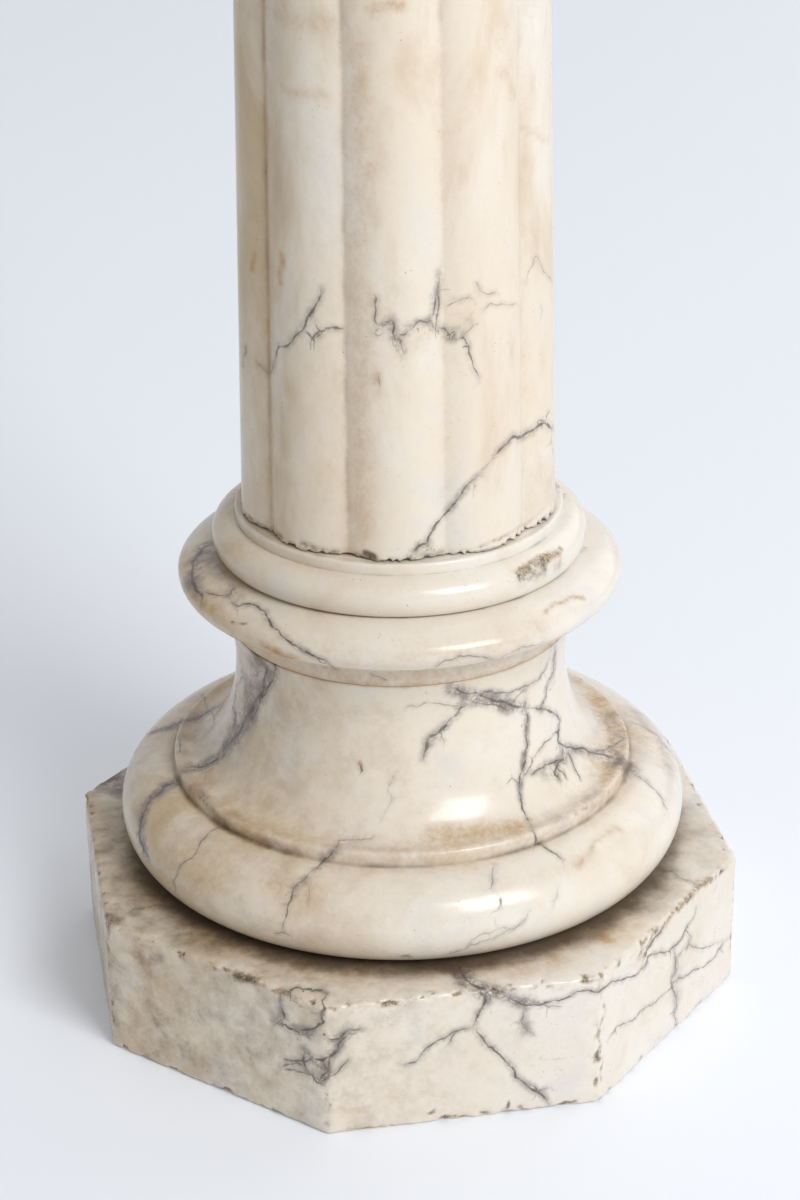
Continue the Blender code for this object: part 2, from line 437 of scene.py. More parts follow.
def turn_stone(name, node, outline, around):
    """Draw an outline point by point and spin it about the axis."""
    one_point((outline[0][0], 0.0, outline[0][1]))
    for here, there in zip(outline, outline[1:]):
        extrude_by((there[0] - here[0], 0.0, there[1] - here[1]))
    bpy.ops.mesh.select_all(action="SELECT")
    bpy.ops.mesh.spin(
        steps=around, angle=math.tau, use_auto_merge=True, center=(0, 0, 0), axis=(0, 0, 1)
    )
    return finish_piece(name, node)


def draw_up(rise, narrow):
    """Extrude the selected outline upwards and draw it in about the axis."""
    extrude_by((0.0, 0.0, rise))
    bpy.ops.transform.resize(value=(narrow, narrow, 1.0), center_override=(0.0, 0.0, 0.0))


def cut_rows(low, high, cuts):
    """Cut level rows across the upright faces between two heights."""
    select_where("edges", lambda edge: spans(edge, low, high))
    bpy.ops.mesh.subdivide(number_cuts=cuts)


def spans(edge, low, high):
    heights = sorted(vert.co.z for vert in edge.verts)
    return abs(heights[0] - low) < CLOSE and abs(heights[1] - high) < CLOSE


def close_end():
    """Draw the selected outline in to the axis."""
    extrude_by((0.0, 0.0, 0.0))
    bpy.ops.mesh.merge(type="CENTER")


def slab_rows(half, foot, top, arris, hidden):
    """Reach and height of each outline of a slab, from its hidden middle out and down."""
    rows = [(hidden, top)]
    straight(rows, half - arris, top, SLAB_ROW)
    bend(rows, (half - arris, top - arris), arris, arris, UP, 0.0, FINE_GRAIN)
    straight(rows, half, foot + arris, SLAB_ROW)
    bend(rows, (half - arris, foot + arris), arris, arris, 0.0, -UP, FINE_GRAIN)
    return rows


def model_slab(name, node, sizes, hidden):
    """An eight-sided slab, its rounded outline drawn out, down and in."""
    half = reach_of(node)
    rows = slab_rows(half, foot_of(node), top_of(node), sizes.arris, hidden)
    nothing_selected()
    bpy.ops.mesh.primitive_circle_add(
        vertices=SIDES, radius=half / math.cos(HALF_SIDE), fill_type="NOTHING",
        rotation=(0.0, 0.0, HALF_SIDE),
    )
    bpy.ops.object.transform_apply(location=True, rotation=True, scale=True)
    bpy.ops.object.mode_set(mode="EDIT")
    bpy.ops.mesh.select_all(action="SELECT")
    bpy.ops.mesh.bevel(affect="VERTICES", offset=sizes.corner, segments=4)
    long_side = half * 0.5
    select_where("edges", lambda edge: edge.calc_length() > long_side)
    bpy.ops.mesh.subdivide(number_cuts=round(2 * half * math.tan(HALF_SIDE) / SLAB_COLUMN))
    bpy.ops.mesh.select_all(action="SELECT")
    scale = rows[0][0] / half
    bpy.ops.transform.resize(value=(scale, scale, 1.0), center_override=(0.0, 0.0, 0.0))
    bpy.ops.transform.translate(value=(0.0, 0.0, rows[0][1]))
    for here, there in zip(rows, rows[1:]):
        draw_up(there[1] - here[1], there[0] / here[0])
    close_end()
    select_where("verts", lambda vert: on_rim(vert, rows[0]))
    close_end()
    return finish_piece(name, node)


def on_rim(vert, row):
    """Whether a point is on the outline that bounds a slab's hidden middle."""
    return abs(vert.co.z - row[1]) < CLOSE and over_side(vert.co)[0] < row[0] + FINE_GRAIN


def over_side(place):
    """How far out a place lies over the nearest side of a slab, and how far along that side."""
    turn = math.atan2(place.y, place.x) % (2.0 * HALF_SIDE)
    turn = min(turn, 2.0 * HALF_SIDE - turn)
    reach = math.hypot(place.x, place.y)
    return reach * math.cos(turn), reach * math.sin(turn)


def model_shaft(name, sizes):
    """Spin one reed's arc, repeat it round the axis and draw it up."""
    half = math.pi / sizes.reeds
    valley = sizes.radius - sizes.depth
    chord = valley * math.sin(half)
    rise = sizes.radius - valley * math.cos(half)
    bow = (chord * chord + rise * rise) / (2.0 * rise)
    centre = sizes.radius - bow
    foot, top = foot_of("shaft"), top_of("shaft")
    heading = Vector((math.cos(sizes.turn), math.sin(sizes.turn), 0.0))
    start = Vector((math.cos(sizes.turn - half), math.sin(sizes.turn - half), 0.0)) * valley
    one_point(start + Vector((0.0, 0.0, foot)))
    bpy.ops.mesh.spin(
        steps=REED_STEPS, angle=2.0 * math.asin(chord / bow), center=heading * centre, axis=(0, 0, -1)
    )
    bpy.ops.mesh.select_all(action="SELECT")
    bpy.ops.mesh.spin(
        steps=sizes.reeds - 1, dupli=True, angle=math.tau * (1.0 - 1.0 / sizes.reeds),
        center=(0, 0, 0), axis=(0, 0, 1),
    )
    bpy.ops.mesh.select_all(action="SELECT")
    bpy.ops.mesh.remove_doubles(threshold=CLOSE)
    heights = (0.0, sizes.chipped, sizes.near, top - foot)
    taper = (sizes.top_radius - sizes.radius) / heights[-1]
    radii = [sizes.radius + taper * height for height in heights]
    for level in range(len(SHAFT_CUTS)):
        draw_up(heights[level + 1] - heights[level], radii[level + 1] / radii[level])
    close_end()
    select_where("verts", lambda vert: abs(vert.co.z - foot) < CLOSE)
    close_end()
    ease_valleys(sizes, half)
    for level, cuts in enumerate(SHAFT_CUTS):
        cut_rows(foot + heights[level], foot + heights[level + 1], cuts)
    return finish_piece(name, "shaft")


def ease_valleys(sizes, half):
    """Round the bottom of each valley a little."""
    inner = 0.01
    aside = half / 40.0

    def in_valley(edge):
        low, high = (vert.co for vert in edge.verts)
        if abs(low.z - high.z) < MM or low.xy.length < inner or high.xy.length < inner:
            return False
        off = (math.atan2(low.y, low.x) - sizes.turn) % (2.0 * half)
        return abs(off - half) < aside

    select_where("edges", in_valley)
    bpy.ops.mesh.bevel(offset=sizes.valley, segments=3)


# Sight lines

class Eye:
    """The photograph's viewpoint, which turns its pixels into sight lines, step pixels apart."""

    step = 2.4

    def __init__(self, studio):
        turn = studio.bearing
        ahead = Vector((-math.sin(turn), math.cos(turn), 0.0))
        right = Vector((math.cos(turn), math.sin(turn), 0.0))
        up = Vector((0.0, 0.0, 1.0))
        self.place = ahead * -studio.distance + up * studio.height
        self.ahead = ahead * math.cos(studio.pitch) - up * math.sin(studio.pitch)
        level_up = ahead * math.sin(studio.pitch) + up * math.cos(studio.pitch)
        self.right = right * math.cos(studio.roll) + level_up * math.sin(studio.roll)
        self.up = level_up * math.cos(studio.roll) - right * math.sin(studio.roll)
        self.focal = studio.focal

    def sight(self, across, down):
        """Sight line through a pixel of the photograph."""
        x = (across - PHOTO_WIDTH / 2) / self.focal
        y = (PHOTO_HEIGHT / 2 - down) / self.focal
        return self.place, (self.ahead + self.right * x + self.up * y).normalized()

    def keeps(self, place, normal):
        """What the photograph shows is kept wherever it meets the stone."""
        return True

    def shows(self, place, normal):
        """Whether a point faces the viewpoint from inside the photograph's frame."""
        gap = place - self.place
        scale = self.focal / gap.dot(self.ahead)
        across = PHOTO_WIDTH / 2 + gap.dot(self.right) * scale
        down = PHOTO_HEIGHT / 2 - gap.dot(self.up) * scale
        framed = -FRINGE < across < PHOTO_WIDTH + FRINGE and -FRINGE < down < PHOTO_HEIGHT + FRINGE
        return framed and normal.dot(gap) < 0.0

    def matrix(self):
        turn = Matrix((self.right, self.up, -self.ahead)).transposed()
        return Matrix.Translation(self.place) @ turn.to_4x4()


class Walk:
    """Sight lines that slope down onto a stone's unseen parts, by mm round it and up it."""

    step = 1.4
    slope = 0.42
    away = 0.5

    def __init__(self, reach, eye):
        self.reach = reach
        self.eye = eye

    def keeps(self, place, normal):
        return not self.eye.shows(place, normal)

    def sight(self, around, height):
        turn = around * MM / self.reach
        out = Vector((math.cos(turn), math.sin(turn), 0.0))
        lift = height * MM + self.slope * (self.away - self.reach)
        start = out * self.away + Vector((0.0, 0.0, lift))
        return start, (-out - Vector((0.0, 0.0, self.slope))).normalized()


# Veins

class Vein(NamedTuple):
    """A vein: half its width, how dark it is, the reach of its grey haze, and where it runs."""

    width: float
    dark: float
    smoke: float
    path: tuple


class Mark(NamedTuple):
    """A stained, grey, grimy or chipped patch, some of them painted shade: its reach, its strength, and
    where it runs.
    """

    kind: str
    reach: float
    strength: float
    path: tuple


class Thread(NamedTuple):
    """A short straight piece of a vein on a stone: its half widths in mm, and its vein's number."""

    start: Vector
    end: Vector
    normal: Vector
    width: float
    end_width: float
    dark: float
    chain: int


class Crease(NamedTuple):
    """A ring round the axis, of soiling, painted shade in a crease or a dark joint: where it lies, how
    far it spreads and how strong it is.
    """

    kind: str
    reach: float
    height: float
    spread: float
    strength: float


class Area(NamedTuple):
    """A band of a stone to grow veins on: its reach, its heights, how many, and the bearings."""

    reach: float
    low: float
    high: float
    count: int
    bearings: tuple = BEHIND


def wander(here, there, step, rng):
    """Points from one place to another, each gap halved with a little swing."""
    gap = there - here
    if gap.length <= step:
        return [there]
    middle = here + gap * 0.5 + gap.orthogonal() * rng.uniform(-SWING, SWING)
    return wander(here, middle, step, rng) + wander(middle, there, step, rng)


def trace(surface, path, eye, rng):
    """Runs of hits and their normals where a path's sight lines meet a stone."""
    corners = [Vector(point) for point in path]
    points = corners[:1]
    for here, there in zip(corners, corners[1:]):
        points += wander(here, there, eye.step, rng)
    runs = [[]]
    for number, point in enumerate(points):
        place, aim = eye.sight(point.x, point.y)
        hit, normal, face, gap = surface.ray_cast(place, aim)
        kept = hit is not None and eye.keeps(hit, normal)
        if not kept or (runs[-1] and (hit - runs[-1][-1][0]).length > STRIDE):
            runs.append([])
        if kept:
            runs[-1].append((hit, normal, number / max(1, len(points) - 1)))
    return [run for run in runs if run]


class Stone:
    """One stone's surface, and the marks gathered for it."""

    def __init__(self, piece, eye, rng):
        self.mesh = piece.data
        self.rng = rng
        self.eye = eye
        self.places = np.empty(len(self.mesh.vertices) * 3)
        self.mesh.vertices.foreach_get("co", self.places)
        self.places = self.places.reshape(-1, 3)
        polygons = [tuple(face.vertices) for face in self.mesh.polygons]
        self.surface = BVHTree.FromPolygons([Vector(place) for place in self.places], polygons)
        self.fields = {kind: np.zeros(len(self.places)) for kind in KINDS}
        self.threads = []
        self.chain = 0

    def shade(self, kind, points, reach, strength):
        """Add a soft-edged patch along some points, reach in metres, to one kind of mark."""
        points = np.array([tuple(point) for point in points])
        low = points.min(axis=0) - reach * FADE
        high = points.max(axis=0) + reach * FADE
        near = np.flatnonzero(((self.places > low) & (self.places < high)).all(axis=1))
        if not len(near):
            return
        gaps = self.places[near][:, None, :] - points[None, :, :]
        closest = (gaps * gaps).sum(axis=2).min(axis=1)
        field = self.fields[kind]
        field[near] = 1.0 - (1.0 - field[near]) * (1.0 - strength * np.exp(-closest / reach ** 2))

    def mark(self, mark, eye=None):
        for run in trace(self.surface, mark.path, eye or self.eye, self.rng):
            points = [hit for hit, normal, part in run[::2]]
            self.shade(mark.kind, points, mark.reach * MM, mark.strength)

    def vein(self, vein, eye=None):
        """Lay a vein on the stone as short straight threads, thinning to its ends."""
        for run in trace(self.surface, vein.path, eye or self.eye, self.rng):
            self.chain += 1
            if vein.smoke:
                points = [hit for hit, normal, part in run[::2]]
                self.shade("smoke", points, vein.smoke * MM, HAZE * vein.dark)
            for (here, normal, part), (there, last, done) in zip(run, run[1:]):
                cuts = math.ceil((there - here).length / THREAD)
                for cut in range(cuts):
                    ends = [min(1.0, TAPER * min(at, 1.0 - at) + TIP) for at in
                            (part + (done - part) * (cut + side) / cuts for side in (0, 1))]
                    self.threads.append(Thread(
                        here.lerp(there, cut / cuts), here.lerp(there, (cut + 1) / cuts), normal,
                        vein.width * ends[0], vein.width * ends[1], vein.dark * ends[0], self.chain))

    def finish(self):
        """Store the marks on the mesh, for the marble to read."""
        for kind, field in self.fields.items():
            layer = self.mesh.attributes.new(kind, "FLOAT", "POINT")
            layer.data.foreach_set("value", field.astype(np.float32))
        self.lay_threads()

    def lay_threads(self):
        """Give each face's corners their side distance, in mm, from the two nearest threads."""
        mesh = self.mesh
        faces = len(mesh.polygons)
        centres = np.empty(faces * 3)
        mesh.polygons.foreach_get("center", centres)
        centres = centres.reshape(-1, 3)
        totals = np.empty(faces, dtype=int)
        mesh.polygons.foreach_get("loop_total", totals)
        points = np.empty(len(mesh.loops), dtype=int)
        mesh.loops.foreach_get("vertex_index", points)
        chosen = {"vein_first": np.full(faces, -1), "vein_second": np.full(faces, -1)}
        if self.threads:
            self.choose(centres, chosen)
        owner = np.repeat(np.arange(faces), totals)
        for name, picks in chosen.items():
            values = self.corner_values(picks[owner], self.places[points])
            layer = mesh.attributes.new(name, "FLOAT_VECTOR", "CORNER")
            layer.data.foreach_set("vector", values.astype(np.float32).ravel())

    def choose(self, centres, chosen):
        """Pick each face's nearest thread, and the nearest one of another vein."""
        tree = KDTree(len(self.threads))
        for number, thread in enumerate(self.threads):
            tree.insert((thread.start + thread.end) / 2.0, number)
        tree.balance()
        starts = np.array([tuple(thread.start) for thread in self.threads])
        low = starts.min(axis=0) - SIGHT
        high = starts.max(axis=0) + SIGHT
        near = np.flatnonzero(((centres > low) & (centres < high)).all(axis=1))
        for face in near:
            found = tree.find_n(centres[face], NEAREST)
            place, first, gap = found[0]
            if gap > SIGHT:
                continue
            chosen["vein_first"][face] = first
            for place, number, gap in found[1:]:
                if self.threads[number].chain != self.threads[first].chain and gap < SIGHT:
                    chosen["vein_second"][face] = number
                    break

    def corner_values(self, picks, places):
        """Side distance, half width and darkness at each corner, from its face's vein."""
        values = np.zeros((len(picks), 3))
        values[:, 0] = SIGHT / MM
        laid = np.flatnonzero(picks >= 0)
        if not len(laid):
            return values
        starts, ends, normals, widths, end_widths, darks, chains = (
            np.array(part) for part in zip(*self.threads))
        along = ends - starts
        lengths = np.linalg.norm(along, axis=1)
        along /= lengths[:, None]
        across = np.cross(normals, along)
        across /= np.linalg.norm(across, axis=1)[:, None]
        best = np.full(len(laid), np.inf)
        for step in (0, -1, 1, -2, 2):
            near = np.clip(picks[laid] + step, 0, len(chains) - 1)
            gaps = places[laid] - starts[near]
            part = np.clip((gaps * along[near]).sum(axis=1) / lengths[near], 0.0, 1.0)
            gap = np.linalg.norm(gaps - along[near] * (part * lengths[near])[:, None], axis=1)
            side = (gaps * across[near]).sum(axis=1)
            closer = (gap < best) & (chains[near] == chains[picks[laid]])
            best[closer] = gap[closer]
            signed = np.where(side < -BESIDE * gap, -gap, gap) / MM
            width = widths[near] * (1.0 - part) + end_widths[near] * part
            found = np.stack((signed, width, darks[near]), axis=1)
            values[laid[closer]] = found[closer]
        return values


def grow(rng, here, heading, length, width, dark, smoke):
    """A vein of the hidden sides that wanders and branches, in mm round and up the stone."""
    path = [tuple(here)]
    found = []
    for walked in range(0, int(length), GROWTH):
        heading += rng.gauss(0.0, HEADING_SPREAD)
        here = Vector(here) + Vector((math.cos(heading), math.sin(heading))) * GROWTH
        path.append(tuple(here))
        if length > 3 * GROWTH and rng.random() < FORK_CHANCE:
            side = heading + rng.choice((-FORK_TURN, FORK_TURN))
            found += grow(rng, here, side, length * FORK_LENGTH, width * FORK_WIDTH,
                          dark * FORK_DARK, smoke * FORK_HAZE)
    return [Vein(width, dark, smoke, tuple(path))] + found


def grow_over(stone, area):
    """Grow veins over the part of a stone that the photograph doesn't show, a third with a rust-coloured
    patch.
    """
    walk = Walk(area.reach, stone.eye)
    rng = stone.rng
    for number in range(area.count):
        bearing = math.radians(rng.uniform(*area.bearings))
        here = (bearing * area.reach / MM, rng.uniform(area.low, area.high) / MM)
        heading = rng.choice((0.0, math.pi)) + rng.uniform(-TILT, TILT)
        strength = rng.uniform(0.35, 1.0)
        length = rng.uniform(*LENGTHS)
        width = 0.16 + 0.42 * strength
        dark = 0.35 + 0.6 * strength
        for vein in grow(rng, here, heading, length, width, dark, rng.choice(HAZE_REACHES) * strength):
            stone.vein(vein, walk)
        if number % 3 == 0:
            stone.mark(Mark("stain", rng.uniform(5.0, 12.0), 0.45, (here,)), walk)


def soil_and_shade_creases(stone, creases):
    """Gather soiling and painted shade in the hollows and joints."""
    reaches = np.hypot(stone.places[:, 0], stone.places[:, 1])
    for crease in creases:
        gap = (reaches - crease.reach) ** 2 + (stone.places[:, 2] - crease.height) ** 2
        added = crease.strength * np.exp(-gap / crease.spread ** 2)
        stone.fields[crease.kind] = 1.0 - (1.0 - stone.fields[crease.kind]) * (1.0 - added)


def chip(piece, chips, eye, depth, rng, worn=None):
    """Knock chips into a piece and wear it, as a displacement by vertex group.

    Returns how broken the piece is at each point, which is noisy so that a chip looks crumbled.
    """
    crumble = 420.0
    least = 0.02
    faint = 0.03
    stone = Stone(piece, eye, rng)
    for spot in chips:
        stone.mark(spot)
    weights = stone.fields["rough"]
    group = piece.vertex_groups.new(name="worn")
    broken = np.zeros(len(weights))
    for index in range(len(weights)):
        place = Vector(stone.places[index])
        weight = 0.0
        if weights[index] > faint:
            weight = weights[index] * (0.55 + 0.45 * noise.noise(place * crumble))
        if worn:
            weight = max(weight, worn(place))
        broken[index] = weight
        if weight > least:
            group.add([index], min(1.0, weight), "REPLACE")
    nothing_selected()
    piece.select_set(True)
    bpy.context.view_layer.objects.active = piece
    bpy.ops.object.modifier_add(type="DISPLACE")
    modifier = piece.modifiers[-1]
    modifier.vertex_group = "worn"
    modifier.mid_level = 0.0
    modifier.strength = -depth
    bpy.ops.object.modifier_apply(modifier=modifier.name)
    piece.vertex_groups.clear()
    return broken


# Marble

class Level:
    """A number carried by a socket, so that sums of nodes read as sums."""

    def __init__(self, board, socket):
        self.board = board
        self.socket = socket

    def __add__(self, other):
        return self.board.math("ADD", self, other)

    def __sub__(self, other):
        return self.board.math("SUBTRACT", self, other)

    def __rsub__(self, other):
        return self.board.math("SUBTRACT", other, self)

    def __mul__(self, other):
        return self.board.math("MULTIPLY", self, other)

    __radd__ = __add__
    __rmul__ = __mul__

    def size(self):
        return self.board.math("ABSOLUTE", self)

    def most(self, other):
        return self.board.math("MAXIMUM", self, other)

    def within(self, low, high):
        """Rise smoothly from 0 at one level to 1 at another."""
        return self.board.node("ShaderNodeMapRange", {"interpolation_type": "SMOOTHSTEP"}, {
            "Value": self, "From Min": low, "From Max": high})


class Board:
    """The nodes of one material."""

    def __init__(self, name):
        self.material = bpy.data.materials.new(name)
        self.material.use_nodes = True
        self.tree = self.material.node_tree
        self.shader = self.tree.nodes["Principled BSDF"]

    def node(self, kind, settings, sockets, output=0):
        """Add a node by its type, its settings, and the values or links of its sockets."""
        node = self.tree.nodes.new(kind)
        for setting, value in settings.items():
            setattr(node, setting, value)
        for socket, value in sockets.items():
            self.join(node.inputs[socket], value)
        return Level(self, node.outputs[output])

    def join(self, socket, value):
        if isinstance(value, Level):
            self.tree.links.new(value.socket, socket)
        else:
            socket.default_value = value

    def math(self, operation, first, second=0.0):
        return self.node("ShaderNodeMath", {"operation": operation}, {0: first, 1: second})

    def vector(self, operation, first, second, output=0):
        return self.node(
            "ShaderNodeVectorMath", {"operation": operation}, {0: first, 1: second}, output)

    def blend(self, share_of_second, first, second):
        """Mix two colours, which are tuples or sockets."""
        first, second = (
            (*tint, 1.0) if isinstance(tint, (tuple, list)) else tint for tint in (first, second))
        return self.node(
            "ShaderNodeMix", {"data_type": "RGBA"}, {0: share_of_second, 6: first, 7: second}, 2)

    def noise(self, place, scale, detail=3.0, rough=0.55, warp=0.0):
        return self.node("ShaderNodeTexNoise", {"noise_dimensions": "3D"}, {
            "Vector": place, "Scale": scale, "Detail": detail, "Roughness": rough, "Distortion": warp})

    def mark(self, name):
        return self.node("ShaderNodeAttribute", {"attribute_name": name}, {}, 2)

    def parts(self, name):
        """The three numbers of a vector kept on the mesh."""
        vector = self.node("ShaderNodeAttribute", {"attribute_name": name}, {}, 1)
        split = self.node("ShaderNodeSeparateXYZ", {}, {0: vector})
        outputs = split.socket.node.outputs
        return [Level(self, outputs[index]) for index in range(3)]


def veining(board, place, name):
    """Broken dark core and patchy grey halo of the veins that one of the mesh's vectors gives."""
    side, width, dark = board.parts(name)
    swell = board.noise(place, scale=200.0, rough=0.6)
    slow = board.noise(place, scale=190.0, detail=2.0) - 0.5
    quick = board.noise(place, scale=620.0, detail=2.0) - 0.5
    sway = slow * 1.8 + quick * 0.6
    off = (side + sway * width.within(0.0, 0.3)).size()
    half = width * (swell.within(0.3, 0.68) * 1.4 + 0.38)
    core = (1.0 - off.within(half * 0.3, half + 0.2)) * dark * width.within(0.02, 0.08)
    halo = 1.0 - side.size().within(0.0, width * 3.0 + 2.2)
    return core * (swell.within(0.34, 0.56) * 0.5 + 0.5), halo * dark


def marble(name, look, offset, stretch, wear, warm):
    """Polished marble: pale, cool and cream clouds, tan patches, grey smoke and dark veins, with painted
    shade laid on its left side and in its creases.
    """
    board = Board(name)
    white, cream, tan = tuple(look.white), tuple(look.cream), tuple(look.tan)
    coords = board.node("ShaderNodeTexCoord", {}, {}, 3)
    place = board.vector("ADD", coords, offset)
    long = board.vector("MULTIPLY", place, (1.0, 1.0, stretch))
    level = board.vector("MULTIPLY", coords, (1.0, 1.0, 0.0))
    bearing = board.vector("NORMALIZE", level, (0.0, 0.0, 0.0))
    dirty_shaded_side = (math.cos(DIRTY_SHADED_SIDE), math.sin(DIRTY_SHADED_SIDE), 0.0)
    left = board.vector("DOT_PRODUCT", bearing, dirty_shaded_side, 1).within(-0.5, 0.95)

    clouds = board.noise(long, scale=12.0, detail=4.0, rough=0.6, warp=0.5)
    apart = board.vector("ADD", long, (3.1, 7.7, 1.3))
    warmth = board.noise(apart, scale=24.0, detail=5.0, rough=0.62, warp=0.6)
    apart = board.vector("ADD", long, (9.2, 2.4, 5.5))
    blotch = board.noise(apart, scale=62.0, detail=6.0, rough=0.68, warp=0.3)
    grain = board.noise(place, scale=420.0, detail=4.0, rough=0.7)
    fleck = board.noise(place, scale=900.0, rough=0.6)
    cracked = board.noise(place, scale=105.0, detail=7.0, rough=0.72, warp=0.12)

    ground = board.blend(clouds.within(0.32, 0.6) * warm, white, cream)
    ground = board.blend((0.46 - warmth).within(0.0, 0.16) * 0.7, ground, tuple(look.cool))
    ground = board.blend(warmth.within(0.48, 0.74) * 0.6 * warm, ground, tan)
    ground = board.blend(blotch.within(0.5, 0.76) * warmth.within(0.34, 0.6) * 0.45 * warm, ground, tan)
    ground = board.blend((grain.within(0.2, 0.8) - 0.5).most(0.0) * 0.16, ground, tan)
    # Painted shade with yellowed skin: the stones' left side darker and warmer
    ground = board.blend(left * left * (warmth.within(0.3, 0.7) * 0.4 + 0.28), ground, tuple(look.patina_and_shade))
    murk = (cracked * 0.5 + blotch * 0.5).within(0.4, 0.7) * (left * 0.85 + 0.05) * wear
    ground = board.blend(murk, ground, tuple(look.murk))

    smoke = board.mark("smoke")
    stain = board.mark("stain")
    grime = board.mark("grime")
    rough = board.mark("rough")
    # Iron stains, and warm painted shade on the reeds' left flanks and under the tori
    rust_and_shade = (stain * (cracked.within(0.3, 0.7) * 0.5 + grain * 0.4 + 0.4)).within(0.0, 1.1)
    ground = board.blend(rust_and_shade, ground, tuple(look.ochre))

    swirl = board.node("ShaderNodeTexNoise", {}, {"Vector": place, "Scale": 120.0}, 1)
    swirled = board.vector("ADD", place, board.vector("MULTIPLY", swirl, (0.006, 0.006, 0.006)))
    web = board.node("ShaderNodeTexVoronoi", {"feature": "DISTANCE_TO_EDGE"}, {
        "Vector": swirled, "Scale": 190.0})
    crackle = (1.0 - web.within(0.0, 0.09)) * smoke.within(0.4, 0.95)
    haze = smoke * (0.4 + cracked.within(0.36, 0.64) * 0.85)
    first_core, first_halo = veining(board, place, "vein_first")
    second_core, second_halo = veining(board, place, "vein_second")
    core = first_core.most(second_core)
    halo = first_halo.most(second_halo) * (cracked.within(0.32, 0.64) * 0.8 + 0.15)
    # Grey haze of the veins, and painted shade under the small torus and inside the lip's right
    ground = board.blend(haze.within(0.0, 1.05) * 0.8, ground, tuple(look.smoke))
    ground = board.blend(halo * 0.42, ground, tuple(look.smoke))
    ground = board.blend(core.most(crackle * 0.5) * 0.9, ground, tuple(look.vein))

    pits = fleck.within(0.67, 0.72) * board.noise(place, scale=60.0, detail=2.0).within(0.5, 0.66)
    ground = board.blend(pits * 0.6, ground, tuple(look.dirt_and_shade))
    dusty = board.noise(place, scale=55.0, detail=6.0, rough=0.65).within(0.25, 0.75)
    # Soiling with painted shade: darkens the creases, the undersides of the tori and the valleys
    soiled_and_shaded = (grime * 1.2 - (1.0 - dusty) * 0.4).within(0.0, 0.9)
    ground = board.blend(soiled_and_shaded * 0.9, ground, tuple(look.dirt_and_shade))
    chipped = (rough * (grain * 1.6 + cracked * 1.2 - 0.5)).within(0.2, 0.65)
    crumbled = (fleck * 0.5 + cracked * 0.5).within(0.42, 0.56)
    crumbs = board.blend(crumbled, tuple(look.dirt_and_shade), tuple(look.broken))
    ground = board.blend(chipped * 0.85, ground, crumbs)

    dull = chipped * 0.45 + soiled_and_shaded * 0.35 + murk * 0.3 + grain * 0.08 + core * 0.1
    height = grain * 0.2 - core * 0.8 - pits * 1.8 + chipped * fleck * 5.0 + blotch * 0.6
    relief = board.node("ShaderNodeBump", {}, {"Strength": 0.35, "Distance": 0.0006, "Height": height})
    for socket, value in (
        ("Base Color", ground),
        ("Roughness", dull + (look.polish - 0.04)),
        ("Normal", relief),
        ("Subsurface Weight", look.glow),
        ("Subsurface Radius", (1.0, 0.75, 0.5)),
        ("Subsurface Scale", 0.006),
        ("IOR", 1.48),
    ):
        board.join(board.shader.inputs[socket], value)
    return board.material


def give_marble(piece, *habit):
    look = bpy.context.scene.column_marble
    piece.data.materials.clear()
    piece.data.materials.append(marble(piece.name + "_marble", look, *habit))


# Studio

FLOOR_SIZE = 9.0
FLOOR_PLACE = (0.0, -0.6, 0.0)
WALL_HEIGHT = 4.5
SWEEP = 0.5
LOOKED_AT = (0.0, 0.0, 0.25)
KEY_PLACE = (1.49, -2.69, 2.78)
KEY_EXTENT = (1.76, 2.08)
RIM_PLACE = (2.4, 1.95, 2.2)
RIM_EXTENT = (2.4, 3.2)
RIM_SHARE = 0.22


def make_camera(studio):
    eye = Eye(studio)
    nothing_selected()
    bpy.ops.object.camera_add()
    camera = bpy.context.object
    camera.name = "camera"
    camera.matrix_world = eye.matrix()
    camera.data.sensor_width = SENSOR
    camera.data.lens = studio.focal / PHOTO_HEIGHT * SENSOR
    camera.data.clip_start = 0.05
    camera.data.clip_end = 60.0
    bpy.context.scene.camera = camera


def make_floor(studio):
    nothing_selected()
    bpy.ops.mesh.primitive_plane_add(size=FLOOR_SIZE, location=FLOOR_PLACE)
    floor = bpy.context.object
    floor.name = "floor"
    bpy.ops.object.transform_apply(location=True, rotation=True, scale=True)
    bpy.ops.object.mode_set(mode="EDIT")
    far = max(vert.co.y for vert in floor.data.vertices)

    def at_wall_foot(edge):
        return all(vert.co.y > far - CLOSE and vert.co.z < CLOSE for vert in edge.verts)

    select_where("edges", at_wall_foot)
    extrude_by((0.0, 0.0, WALL_HEIGHT))
    select_where("edges", at_wall_foot)
    bpy.ops.mesh.bevel(offset=SWEEP, segments=12)
    bpy.ops.object.mode_set(mode="OBJECT")
    bpy.ops.object.shade_smooth()
    material = bpy.data.materials.new("pale floor")
    material.use_nodes = True
    shader = material.node_tree.nodes["Principled BSDF"]
    shader.inputs["Base Color"].default_value = (*studio.floor, 1.0)
    shader.inputs["Roughness"].default_value = 0.7
    shader.inputs["Emission Color"].default_value = (*studio.floor, 1.0)
    shader.inputs["Emission Strength"].default_value = studio.glow
    floor.data.materials.append(material)


def make_lights(studio):
    world = bpy.data.worlds.new("studio")
    bpy.context.scene.world = world
    world.use_nodes = True
    shade = world.node_tree.nodes["Background"]
    shade.inputs["Color"].default_value = (*studio.sky, 1.0)
    shade.inputs["Strength"].default_value = studio.fill
    add_softbox("key", KEY_PLACE, KEY_EXTENT, studio.key)
    add_softbox("rim", RIM_PLACE, RIM_EXTENT, studio.key * RIM_SHARE)


